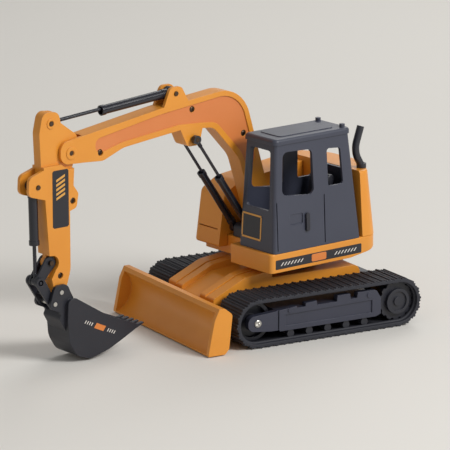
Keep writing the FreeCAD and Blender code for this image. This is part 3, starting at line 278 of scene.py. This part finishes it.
def mould(node, material, corner_mm):
    """Replace a CAD node by its own form with rounded corners."""
    mesh, form = merged_copy(node)
    round_corners(form, corner_mm * MM)
    finish_form(form, mesh)
    piece = place_piece(f"{node}_moulding", mesh, material, body_of[node])
    weight = piece.modifiers.new("flat faces stay flat", "WEIGHTED_NORMAL")
    weight.keep_sharp = True
    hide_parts(node)
    return piece


# %% [markdown]
# Which plastic is which
#
# The toy is moulded in three colours: an orange yellow for the body and the digging arm, slate
# grey for the cab and the track frames, and black for everything that works hard. The numbers
# are the corner rounds in millimetres. Pieces whose corners are already round in the solid have
# none, and so have the thin ones.

# %% Dress the machine
DRESS = [
    (YELLOW, "yellow_abs", {
        "chassis_cover": 0.5, "blade": 0.5, "deck": 0.3, "rear_body": 0, "engine_hood": 0,
        "boom_half_left": 0.3, "boom_half_right": 0.3, "arm_half_left": 0.3, "arm_half_right": 0.3}),
    (SLATE, "slate_abs", {"cab_shell": 0.25, "cab_roof": 0}),
    # The track frames take the slate darkened as painted shade
    (SHADED_SLATE, "slate_abs", {"track_frame_left": 0.25, "track_frame_right": 0.25}),
    (BLACK, "black_abs", {
        "chassis": 0.4, "turntable_ring": 0.2, "turntable_plate": 0.2, "road_rollers_left": 0.2,
        "road_rollers_right": 0.2, "drive_gearbox_left": 0.3, "drive_gearbox_right": 0.3,
        "battery_cover": 0.2, "power_switch": 0.15, "idler_left": 0.3, "idler_right": 0.3,
        "sprocket_left": 0.2, "sprocket_right": 0.2, "door_handle": 0.2, "seat": 0,
        "control_levers": 0.15, "exhaust_stack": 0.15, "boom_bracket": 0.25,
        "bucket_shell": 0.3, "bucket_teeth": 0.2, "rocker": 0.2, "bucket_link": 0.2}),
    (GLOSS_BLACK, "black_abs", {
        "boom_barrel_left": 0.2, "boom_barrel_right": 0.2, "arm_barrel": 0.2, "bucket_barrel": 0.2}),
    (GLOSS_BLACK, "bright_steel", {
        "boom_rod_left": 0.1, "boom_rod_right": 0.1, "arm_rod": 0.1, "bucket_rod": 0.1}),
    (NICKEL, "bright_steel", {
        "idler_axles": 0.15, "blade_pins": 0.2, "chassis_screws": 0.15, "bucket_pins": 0.2}),
    (BLACK_ZINC, "bright_steel", {"upper_pins": 0.2, "boom_pins": 0.2, "arm_pins": 0.2}),
    (GALVANISED, "motor_can", {
        "swing_motor": 0.2, "boom_motor": 0.2, "arm_motor": 0.2, "bucket_motor": 0.2}),
    (BOARD, "circuit_green", {"circuit_board": 0.1}),
    (WRAP, "battery_wrap", {"battery_cells": 0.3}),
]
mouldings = {}
for material, slot, group in DRESS:
    for node, corner in group.items():
        mouldings[node] = mould(node, material, corner)
print("dressed", len(mouldings), "of", len(nodes), "pieces")

# %% [markdown]
# The boom's orange panels
#
# Each side of the boom has a shallow recess, and on the toy its floor is redder than the raised
# lip round it. A face of the moulding belongs to that floor when it looks straight sideways and
# lies just under the outer side. Those faces get a second material, so the colour ends exactly
# at the recess's own edge.

# %% Colour the recess floors
recess_depth = 0.8
boom_half_width = 6.0
for name, side in (("left", 1), ("right", -1)):
    mesh = mouldings[f"boom_half_{name}"].data
    mesh.materials.append(ORANGE)
    floor_y = boom_middle + side * (boom_half_width - recess_depth)
    painted = 0
    for face in mesh.polygons:
        middle = turn.inverted() @ face.center / MM
        facing = turn.inverted().to_3x3() @ face.normal
        if abs(middle.y - floor_y) < 0.05 and facing.y * side > 0.99:
            face.material_index = 1
            painted += 1
    print("boom", name, "panel faces:", painted)

# %% [markdown]
# Rubber tracks
#
# A toy track is one moulded rubber belt made to look like a chain of steel shoes. One shoe is
# built, and a Geometry Nodes tree lays copies of it along the belt's path, because every
# shoe is the same and only the path decides where it goes. The path is an oblong: two straight
# runs and a half circle round each wheel.

# %% Sizes of the belt
belt_low, belt_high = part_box("track_belt_left")
belt_height = belt_high.z - belt_low.z
belt_width = belt_high.y - belt_low.y
belt_side = (belt_low.y + belt_high.y) / 2
wheel_distance = (belt_high.x - belt_low.x) - belt_height
shoe_count = 52
bar_height = 1.3 * MM
band_wall = 1.8 * MM
band_radius = belt_height / 2 - bar_height - band_wall / 2
pitch = (2 * wheel_distance + 2 * math.pi * band_radius) / shoe_count
print("belt:", [round(v / MM, 1) for v in (wheel_distance, belt_height, belt_width)], "mm")
print("shoe pitch:", round(pitch / MM, 2), "mm")

# %% The oblong, and the smooth band that follows it


def oblong(radius, steps=24):
    """Points round both wheels: along the top to the front, and back underneath."""
    points = []
    for end, start_angle in ((1, 90), (-1, 270)):
        for step in range(steps + 1):
            angle = math.radians(start_angle - 180 * step / steps)
            points.append((end * wheel_distance / 2 + radius * math.cos(angle),
                           belt_height / 2 + radius * math.sin(angle)))
    return points


def closed_path(name, points):
    """A closed curve through points in the side view."""
    curve = bpy.data.curves.new(name, "CURVE")
    curve.dimensions = "3D"
    spline = curve.splines.new("POLY")
    spline.points.add(len(points) - 1)
    for spot, (x, z) in zip(spline.points, points):
        spot.co = (x, 0, z, 1)
    spline.use_cyclic_u = True
    return bpy.data.objects.new(name, curve)


def add_band(form):
    """The smooth inside of the belt: a flat ribbon with two low ridges that guide the wheels."""
    half, wall = belt_width / 2, band_wall / 2
    ridge_y, ridge_width, ridge_rise = 9.5 * MM, 1.6 * MM, 0.9 * MM
    section = [(half, wall), (half, -wall)]
    for y in (ridge_y, -ridge_y):
        section += [(y + ridge_width, -wall), (y + ridge_width * 0.6, -wall - ridge_rise),
                    (y - ridge_width * 0.6, -wall - ridge_rise), (y - ridge_width, -wall)]
    section += [(-half, -wall), (-half, wall)]
    loops = []
    for y, out in section:
        loops.append([form.verts.new((x, y, z)) for x, z in oblong(band_radius + out)])
    for here, beside in zip(loops, loops[1:] + loops[:1]):
        for n in range(len(here)):
            after = (n + 1) % len(here)
            form.faces.new((here[n], beside[n], beside[after], here[after]))
    bmesh.ops.recalc_face_normals(form, faces=form.faces)


# %% One shoe


def add_block(form, low, high, taper=1.0):
    """A block between two corners, its top drawn in by taper along its length."""
    middle = (low[0] + high[0]) / 2
    corners = []
    for z, scale in ((low[2], 1.0), (high[2], taper)):
        for x, y in ((low[0], low[1]), (high[0], low[1]), (high[0], high[1]), (low[0], high[1])):
            corners.append(form.verts.new((middle + (x - middle) * scale, y, z)))
    for face in ((3, 2, 1, 0), (4, 5, 6, 7), (0, 1, 5, 4), (1, 2, 6, 5), (2, 3, 7, 6), (3, 0, 4, 7)):
        form.faces.new([corners[i] for i in face])


def make_shoe():
    """A shoe: a plate with a gap to the next one, a tall grouser bar and a low one behind it."""
    form = bmesh.new()
    half = belt_width / 2
    top = band_wall / 2
    plate_top = top + 0.5 * MM
    add_block(form, (-pitch * 0.46, -half, top - 0.3 * MM), (pitch * 0.46, half, plate_top), 0.94)
    bar_foot = plate_top - 0.1 * MM
    add_block(form, (-pitch * 0.16, -half, bar_foot), (pitch * 0.16, half, top + bar_height), 0.55)
    add_block(form, (-pitch * 0.42, -half, bar_foot), (-pitch * 0.28, half, top + 0.85 * MM), 0.6)
    mesh = bpy.data.meshes.new("track_shoe")
    form.to_mesh(mesh)
    form.free()
    return bpy.data.objects.new("track_shoe", mesh)


# %% A tree that lays copies along a path


def start_tree(name, inputs):
    """A Geometry Nodes tree with one geometry going in and out, and named inputs."""
    tree = bpy.data.node_groups.new(name, "GeometryNodeTree")
    tree.interface.new_socket(name="Geometry", in_out="OUTPUT", socket_type="NodeSocketGeometry")
    tree.interface.new_socket(name="Geometry", in_out="INPUT", socket_type="NodeSocketGeometry")
    for socket_name, kind in inputs.items():
        tree.interface.new_socket(name=socket_name, in_out="INPUT", socket_type=kind)
    return tree, add_node(tree, "NodeGroupInput")


def finish_tree(tree, geometry, material):
    """Every tree ends the same way: real geometry with one material."""
    real = add_node(tree, "GeometryNodeRealizeInstances", links={"Geometry": geometry})
    coloured = add_node(tree, "GeometryNodeSetMaterial", {"Material": material},
                        {"Geometry": real.outputs[0]})
    add_node(tree, "NodeGroupOutput", links={0: coloured.outputs[0]})
    return tree


def run_tree(start, tree, inputs):
    """Run a tree on an object and return the result as a plain mesh."""
    bpy.context.scene.collection.objects.link(start)
    modifier = start.modifiers.new("layout", "NODES")
    modifier.node_group = tree
    named = {s.name: s.identifier for s in tree.interface.items_tree if s.in_out == "INPUT"}
    for name, value in inputs.items():
        modifier[named[name]] = value
    graph = bpy.context.evaluated_depsgraph_get()
    mesh = bpy.data.meshes.new_from_object(start.evaluated_get(graph), depsgraph=graph)
    start.modifiers.remove(modifier)
    bpy.data.objects.remove(start)
    return mesh


def along_path_tree(name, material):
    """Copies of one object, evenly spaced along a path in the side view and turned with it."""
    tree, entry = start_tree(name, {"Count": "NodeSocketInt", "Copied": "NodeSocketObject"})
    even = add_node(tree, "GeometryNodeResampleCurve",
                    links={"Curve": entry.outputs["Geometry"], "Count": entry.outputs["Count"]})
    copied = add_node(tree, "GeometryNodeObjectInfo", links={"Object": entry.outputs["Copied"]})
    along = add_node(tree, "GeometryNodeInputTangent")
    facing = add_node(tree, "FunctionNodeAlignRotationToVector", {"axis": "X", "pivot_axis": "Y"},
                      {"Vector": along.outputs[0]})
    laid = add_node(tree, "GeometryNodeInstanceOnPoints",
                    links={"Points": even.outputs[0], "Instance": copied.outputs["Geometry"],
                           "Rotation": facing.outputs[0]})
    return finish_tree(tree, laid.outputs[0], material)


# %% Make both tracks
shoe = make_shoe()
bpy.context.scene.collection.objects.link(shoe)
shoe_tree = along_path_tree("shoes_along_belt", RUBBER)
for name, side in (("left", 1), ("right", -1)):
    start = closed_path(f"belt_path_{name}", oblong(band_radius))
    mesh = run_tree(start, shoe_tree, {"Count": shoe_count, "Copied": shoe})
    form = bmesh.new()
    add_band(form)
    form.from_mesh(mesh)
    bmesh.ops.translate(form, verts=form.verts, vec=(0, side * belt_side, 0))
    round_corners(form, 0.12 * MM)
    finish_form(form, mesh)
    belt = place_piece(f"rubber_track_{name}", mesh, RUBBER, body_of[f"track_belt_{name}"])
    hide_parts(f"track_belt_{name}")
    print("track", name, "faces:", len(mesh.polygons))
bpy.data.objects.remove(shoe)

# %% [markdown]
# Screws
#
# Small self-tapping screws with a cross recess hold the two halves of the boom and the arm
# together, and a larger one closes each front wheel's axle. One head is turned from a profile
# and its recess is cut with a boolean. A second tree puts a copy of it on every point, facing
# the way the hole faces and turned at random, as a screw is left by the driver.

# %% One screw head


def turned(form, profile, steps):
    """A solid of revolution about Z: profile holds (radius, height) from the rim to the top."""
    rings = []
    for radius, height in profile:
        rings.append([form.verts.new((radius * math.cos(2 * math.pi * i / steps),
                                      radius * math.sin(2 * math.pi * i / steps), height))
                      for i in range(steps)])
    for lower, upper in zip(rings, rings[1:]):
        for i in range(steps):
            j = (i + 1) % steps
            form.faces.new((lower[i], lower[j], upper[j], upper[i]))
    form.faces.new(rings[-1])
    form.faces.new(list(reversed(rings[0])))


def object_from(form, name):
    mesh = bpy.data.meshes.new(name)
    form.to_mesh(mesh)
    form.free()
    made = bpy.data.objects.new(name, mesh)
    bpy.context.scene.collection.objects.link(made)
    return made


def make_screw(radius, height):
    """A pan head with a cross recess, facing up, its foot at zero."""
    form = bmesh.new()
    turned(form, [(radius, 0), (radius, height * 0.35), (radius * 0.93, height * 0.68),
                  (radius * 0.74, height * 0.9), (radius * 0.45, height)], 28)
    head = object_from(form, "screw_head")
    form = bmesh.new()
    long, short = radius * 0.6, radius * 0.15
    add_block(form, (-long, -short, height * 0.4), (long, short, height * 1.5))
    recess = object_from(form, "recess")
    form = bmesh.new()
    add_block(form, (-short, -long, height * 0.4), (short, long, height * 1.5))
    crossing = object_from(form, "recess_crossing")
    for tool in (recess, crossing):
        cut = head.modifiers.new("recess", "BOOLEAN")
        cut.object = tool
        cut.operation = "DIFFERENCE"
    graph = bpy.context.evaluated_depsgraph_get()
    mesh = bpy.data.meshes.new_from_object(head.evaluated_get(graph))
    for used in (recess, crossing, head):
        bpy.data.objects.remove(used)
    made = bpy.data.objects.new(f"screw_{radius / MM:.1f}", mesh)
    bpy.context.scene.collection.objects.link(made)
    return made


# %% A tree that puts a copy on every point


def on_points_tree(name, material):
    """A copy of one object on every point, its Z towards Facing, turned at random about it."""
    tree, entry = start_tree(name, {"Copied": "NodeSocketObject", "Facing": "NodeSocketVector",
                                    "Seed": "NodeSocketInt"})
    copied = add_node(tree, "GeometryNodeObjectInfo", links={"Object": entry.outputs["Copied"]})
    chance = add_node(tree, "FunctionNodeRandomValue", {"data_type": "FLOAT", 3: 1.5},
                      {"Seed": entry.outputs["Seed"]})
    facing = add_node(tree, "FunctionNodeAlignRotationToVector", {"axis": "Z"},
                      {"Vector": entry.outputs["Facing"]})
    spin = add_node(tree, "FunctionNodeAxisAngleToRotation", {"Axis": (0, 0, 1)},
                    {"Angle": chance.outputs[1]})
    turned_head = add_node(tree, "FunctionNodeRotateRotation", {"rotation_space": "LOCAL"},
                           {"Rotation": facing.outputs[0], "Rotate By": spin.outputs[0]})
    laid = add_node(tree, "GeometryNodeInstanceOnPoints",
                    links={"Points": entry.outputs["Geometry"], "Instance": copied.outputs["Geometry"],
                           "Rotation": turned_head.outputs[0]})
    return finish_tree(tree, laid.outputs[0], material)


def points_object(places):
    """A mesh of loose points."""
    mesh = bpy.data.meshes.new("places")
    mesh.from_pydata([tuple(p) for p in places], [], [])
    return bpy.data.objects.new("places", mesh)


def separate_boxes(node):
    """Lowest and highest corner of each separate solid in a node."""
    mesh, form = merged_copy(node)
    waiting = set(form.verts)
    found = []
    while waiting:
        queue = [waiting.pop()]
        island = []
        while queue:
            vert = queue.pop()
            island.append(vert.co.copy())
            for edge in vert.link_edges:
                other = edge.other_vert(vert)
                if other in waiting:
                    waiting.remove(other)
                    queue.append(other)
        found.append((Vector(map(min, *island)), Vector(map(max, *island))))
    form.free()
    bpy.data.meshes.remove(mesh)
    return found


# %% Screws in the boom, the arm and the front axles
small_height = 1.1 * MM
small_screw = make_screw(1.9 * MM, small_height)
sideways = turn @ Vector((0, 1, 0))
dark_tree = on_points_tree("dark_screws", BLACK_ZINC)
for node, body, seed in (("boom_screws", "boom", 3), ("arm_screws", "arm", 8)):
    places = [(low + high) / 2 - sideways * small_height / 2 for low, high in separate_boxes(node)]
    mesh = run_tree(points_object(places), dark_tree,
                    {"Copied": small_screw, "Facing": tuple(sideways), "Seed": seed})
    form = bmesh.new()
    form.from_mesh(mesh)
    finish_form(form, mesh)
    heads = place_piece(f"{node}_heads", mesh, BLACK_ZINC, body)
    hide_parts(node)
    print(node, len(places), "screws")
bpy.data.objects.remove(small_screw)

# %% The axle screws: the turned head covers the plain one, which shrinks under it
axle_height = 1.0 * MM
axle_screw = make_screw(2.6 * MM, axle_height)
bright_tree = on_points_tree("bright_screws", NICKEL)
axle_mesh = mouldings["idler_axles"].data
frame_side = max(abs(v.co.y) for v in axle_mesh.vertices) - axle_height
wheel_x = wheel_distance / 2
for vert in axle_mesh.vertices:
    beyond = abs(vert.co.y) - frame_side
    if beyond > 0.05 * MM:
        vert.co.y = math.copysign(frame_side + beyond * 0.2, vert.co.y)
        vert.co.x = wheel_x + (vert.co.x - wheel_x) * 0.9
        vert.co.z = belt_height / 2 + (vert.co.z - belt_height / 2) * 0.9
form = bmesh.new()
for side, seed in ((1, 2), (-1, 5)):
    start = points_object([(wheel_x, side * frame_side, belt_height / 2)])
    outward = (0.0, float(side), 0.0)
    mesh = run_tree(start, bright_tree, {"Copied": axle_screw, "Facing": outward, "Seed": seed})
    form.from_mesh(mesh)
    bpy.data.meshes.remove(mesh)
mesh = finish_form(form, bpy.data.meshes.new("axle_screw_heads"))
place_piece("axle_screw_heads", mesh, NICKEL, "undercarriage")
bpy.data.objects.remove(axle_screw)
print("axle screws stand on the frame at", round(frame_side / MM, 1), "mm")

# %% [markdown]
# Raised bosses round the pivots
#
# The nose of the boom and the head of the arm each carry a low round boss about their pin, which
# keeps the plastic from splitting. A ring with a rounded rim is turned from a profile, as on a
# lathe, and laid on both sides.

# %% Bosses


def ring_profile(inner, outer, rise, rim=0.3):
    """A low ring's section, from its inner foot over the top to its outer foot."""
    return [(outer, 0), (outer, rise - rim), (outer - rim * 0.3, rise - rim * 0.3), (outer - rim, rise),
            (inner + rim, rise), (inner + rim * 0.3, rise - rim * 0.3), (inner, rise - rim), (inner, 0)]


def add_ring(form, profile, place, way, steps=40):
    """A ring of revolution standing on place and facing way, closed underneath."""
    matrix = Matrix.Translation(place) @ way.to_track_quat("Z", "Y").to_matrix().to_4x4()
    loops = []
    for radius, height in profile:
        loops.append([form.verts.new(matrix @ (Vector((radius * math.cos(2 * math.pi * i / steps),
                                                       radius * math.sin(2 * math.pi * i / steps),
                                                       height)) * MM)) for i in range(steps)])
    for here, beside in zip(loops, loops[1:] + loops[:1]):
        for i in range(steps):
            j = (i + 1) % steps
            form.faces.new((here[i], here[j], beside[j], beside[i]))


arm_head_half = 3.5
for name, body, place, half_width, size in (
        ("boom_nose_bosses", "boom", pivot("arm_crowd"), boom_half_width, (1.75, 4.2, 0.5)),
        ("arm_head_bosses", "arm", pivot("arm_rod_pivot"), arm_head_half, (1.75, 3.4, 0.5))):
    form = bmesh.new()
    for side in (1, -1):
        spot = turn @ (Vector((place.x, boom_middle + side * half_width, place.z)) * MM)
        add_ring(form, ring_profile(*size), spot, sideways * side)
    bmesh.ops.recalc_face_normals(form, faces=form.faces)
    mesh = finish_form(form, bpy.data.meshes.new(name))
    place_piece(name, mesh, YELLOW, body)
    print(name, "at", [round(v, 1) for v in place], "mm")

# %% [markdown]
# Printed films
#
# The toy carries small printed films: a dark plate on the arm, a dark strip along the deck, a
# framed plate under the windscreen and a patch on the bucket. They are drawn here with plain
# stripes. A film is a flat sheet a tenth of a millimetre thick with clipped corners,
# drawn in its own flat coordinates and then carried to the wall by one matrix, whose X runs
# along the wall, Y up it and Z out of it.

# %% Flat sheets on a wall
FILM = 0.12


def wall(origin, along, up):
    """The matrix that carries flat millimetres to a wall of the upper structure."""
    along = Vector(along).normalized()
    out = along.cross(Vector(up)).normalized()
    rise = out.cross(along)
    axes = Matrix((along, rise, out)).transposed().to_4x4()
    return turn @ Matrix.Scale(MM, 4) @ Matrix.Translation(origin) @ axes


def add_sheet(form, corners, low, high):
    """A flat sheet with the given outline between two heights."""
    bottom = [form.verts.new((x, y, low)) for x, y in corners]
    top = [form.verts.new((x, y, high)) for x, y in corners]
    form.faces.new(list(reversed(bottom)))
    form.faces.new(top)
    for n in range(len(corners)):
        after = (n + 1) % len(corners)
        form.faces.new((bottom[n], bottom[after], top[after], top[n]))


def clipped(width, height, corner):
    """A rectangle about the middle with its corners cut."""
    x, y = width / 2, height / 2
    return [(-x + corner, -y), (x - corner, -y), (x, -y + corner), (x, y - corner),
            (x - corner, y), (-x + corner, y), (-x, y - corner), (-x, -y + corner)]


def film_piece(name, form, matrix, material, body):
    bmesh.ops.recalc_face_normals(form, faces=form.faces)
    form.transform(matrix)
    return place_piece(name, finish_form(form, bpy.data.meshes.new(name)), material, body)


# %% Repeated marks along a line, by the same tree that lays the track shoes


def marks_along(name, outline, first, last, count, material):
    """A mesh of count copies of one flat mark between two places on a line."""
    form = bmesh.new()
    add_sheet(form, outline, FILM * 0.9, FILM * 1.5)
    mark = object_from(form, f"{name}_mark")
    curve = bpy.data.curves.new(f"{name}_line", "CURVE")
    curve.dimensions = "3D"
    spline = curve.splines.new("POLY")
    spline.points.add(1)
    spline.points[0].co = (*first, 0, 1)
    spline.points[1].co = (*last, 0, 1)
    line = bpy.data.objects.new(f"{name}_line", curve)
    mesh = run_tree(line, along_path_tree(f"{name}_marks", material), {"Count": count, "Copied": mark})
    bpy.data.objects.remove(mark)
    return mesh


# %% The dark plate on the arm, with slanting stripes at its top
arm_side = boom_middle + 6.0
plate = wall((179.6, arm_side, 107), (-1, 0, 0), (0, 0, 1))
plate_width, plate_height = 12.4, 37.0
form = bmesh.new()
add_sheet(form, clipped(plate_width, plate_height, 1.0), 0.0, FILM)
film_piece("arm_plate_film", form, plate, BLACK_FILM, "arm")
slash = [(-3.4, -1.7), (-3.4, -0.1), (3.4, 2.9), (3.4, 1.3)]
slash_count, slash_top, slash_step = 5, 12.6, 2.9
form = bmesh.new()
for n in range(slash_count):
    add_sheet(form, [(x, y + slash_top - n * slash_step) for x, y in slash], FILM * 0.9, FILM * 1.5)
film_piece("arm_plate_slashes", form, plate, YELLOW_FILM, "arm")
print("arm plate", plate_width, "by", plate_height, "mm")

# %% The strip along the deck: slanting stripes at each end and an orange patch between
deck_side = 41.0
strip_length, strip_height = 73.0, 6.2
strip = wall((3.1, deck_side, 49.3), (-1, 0, 0), (0, 0, 1))
form = bmesh.new()
add_sheet(form, clipped(strip_length, strip_height, 0.5), 0.0, FILM)
film_piece("deck_strip_film", form, strip, BLACK_FILM, "upper_structure")
form = bmesh.new()
patch_length, patch_height = 12.5, 5.0
add_sheet(form, clipped(patch_length, patch_height, 0.8), FILM * 0.9, FILM * 1.5)
film_piece("deck_strip_patch", form, strip, ORANGE_FILM, "upper_structure")
stripe = [(-1.5, -1.1), (-0.5, -1.1), (1.5, 1.1), (0.5, 1.1)]
form = bmesh.new()
for name, first, last in (("front", -31, -14.5), ("rear", 14.5, 31)):
    mesh = marks_along(f"deck_{name}", stripe, (first, 0), (last, 0), 7, WHITE_FILM)
    form.from_mesh(mesh)
    bpy.data.meshes.remove(mesh)
film_piece("deck_strip_stripes", form, strip, WHITE_FILM, "upper_structure")

# %% The framed plate under the windscreen
cab_lean = 3.5 / 70.5
front_at = 41.0 - cab_lean * (71 - 56.5)
screen_foot = wall((front_at, 17.5, 71), (0, 1, 0), (-cab_lean, 0, 1))
frame_width, frame_height, frame_line = 20.0, 17.0, 1.5
form = bmesh.new()
add_sheet(form, clipped(frame_width, frame_height, 0.6), 0.0, FILM)
film_piece("cab_plate_film", form, screen_foot, BLACK_FILM, "upper_structure")
form = bmesh.new()
for sign in (1, -1):
    y = sign * (frame_height - frame_line) / 2
    add_sheet(form, [(x, y + dy) for x, dy in ((-9.4, -0.6), (9.4, -0.6), (9.4, 0.6), (-9.4, 0.6))],
              FILM * 0.9, FILM * 1.5)
    x = sign * (frame_width - frame_line) / 2
    add_sheet(form, [(x + dx, y) for dx, y in ((-0.6, -7.1), (0.6, -7.1), (0.6, 7.1), (-0.6, 7.1))],
              FILM * 0.9, FILM * 1.5)
film_piece("cab_plate_frame", form, screen_foot, YELLOW_FILM, "upper_structure")

# %% The patch on the bucket's side, with short stripes before and after it
bucket_side = boom_middle + 11.5
patch = wall((153.9, bucket_side, 20.6), (-0.9, 0, -0.42), (0, 0, 1))
form = bmesh.new()
add_sheet(form, [(-4.4, -1.8), (3.6, -1.8), (4.4, 1.8), (-3.6, 1.8)], 0.0, FILM)
film_piece("bucket_patch_film", form, patch, ORANGE_FILM, "bucket")
bar = [(-0.6, -1.1), (0.1, -1.1), (0.6, 1.1), (-0.1, 1.1)]
form = bmesh.new()
for name, first, last in (("rear", -12.5, -7.0), ("front", 7.0, 12.5)):
    mesh = marks_along(f"bucket_{name}", bar, (first, 0), (last, 0), 4, WHITE_FILM)
    form.from_mesh(mesh)
    bpy.data.meshes.remove(mesh)
film_piece("bucket_patch_stripes", form, patch, WHITE_FILM, "bucket")
print("films done")

# %% [markdown]
# Floor, light and camera
#
# A pale floor and large soft lamps keep the light plain, so the colours read as they are
# written. The main lamp stands on the machine's left, above the camera, which leaves the faces
# that look to the front darker, as in the photograph. The camera stands where the photograph's
# did, far off with a long lens, and looks only at the part of the picture with the excavator.

# %% Floor


def make_floor():
    """A pale sheet of card under the toy, a few metres wide."""
    form = bmesh.new()
    reach = 6.0
    corners = ((-reach, -reach), (reach, -reach), (reach, reach), (-reach, reach))
    form.faces.new([form.verts.new((x, y, 0)) for x, y in corners])
    floor = object_from(form, "floor")
    material, tree = new_material("pale_card")
    place = add_node(tree, "ShaderNodeTexCoord")
    fibre = add_node(tree, "ShaderNodeTexNoise", {"Scale": 1 / (2 * MM), "Detail": 2.0},
                     {"Vector": place.outputs["Object"]})
    bump = add_node(tree, "ShaderNodeBump", {"Strength": 0.05, "Distance": 0.02 * MM},
                    {"Height": fibre.outputs["Fac"]})
    shader = add_node(tree, "ShaderNodeBsdfPrincipled", {"Base Color": linear("#DAD7D1"), "Roughness": 0.85},
                      {"Normal": bump.outputs["Normal"]})
    add_node(tree, "ShaderNodeOutputMaterial", links={"Surface": shader.outputs["BSDF"]})
    floor.data.materials.append(material)


make_floor()

# %% Lamps and world


def soft_lamp(name, place, power, size, target=(0.06, 0, 0.06)):
    lamp = bpy.data.lights.new(name, "AREA")
    lamp.energy = power
    lamp.size = size
    holder = bpy.data.objects.new(name, lamp)
    bpy.context.scene.collection.objects.link(holder)
    holder.location = place
    holder.rotation_euler = (Vector(target) - Vector(place)).to_track_quat("-Z", "Y").to_euler()


soft_lamp("key_softbox", (-0.65, 1.35, 1.15), 27, 0.7)
soft_lamp("front_fill", (1.5, 0.4, 0.8), 1.2, 1.2)
soft_lamp("back_softbox", (-1.0, -0.9, 1.1), 8, 1.0)
world = bpy.data.worlds.new("studio")
bpy.context.scene.world = world
world.use_nodes = True
world.node_tree.nodes["Background"].inputs["Color"].default_value = linear("#F4F3F1")
world.node_tree.nodes["Background"].inputs["Strength"].default_value = 0.42

# %% The photograph's camera
camera_place = Vector((1.183, 1.969, 0.639))
looking = Vector((-0.460, -0.856, -0.237)).normalized()
photo_width = 450
photo_focal_mm = 135.8
sensor_mm = 36.0
excavator_middle = (277, 237)
excavator_width = 212

focal_pixels = photo_focal_mm / sensor_mm * photo_width
right = looking.cross(Vector((0, 0, 1))).normalized()
upward = right.cross(looking)
aim = looking + right * ((excavator_middle[0] - photo_width / 2) / focal_pixels)
aim -= upward * ((excavator_middle[1] - photo_width / 2) / focal_pixels)
camera = bpy.data.cameras.new("camera")
camera.sensor_width = sensor_mm
camera.lens = photo_focal_mm * photo_width / excavator_width
camera.clip_end = 50
holder = bpy.data.objects.new("camera", camera)
bpy.context.scene.collection.objects.link(holder)
holder.location = camera_place
holder.rotation_euler = aim.to_track_quat("-Z", "Y").to_euler()
bpy.context.scene.camera = holder
bpy.context.scene.view_settings.view_transform = "Standard"
print("lens", round(camera.lens), "mm")
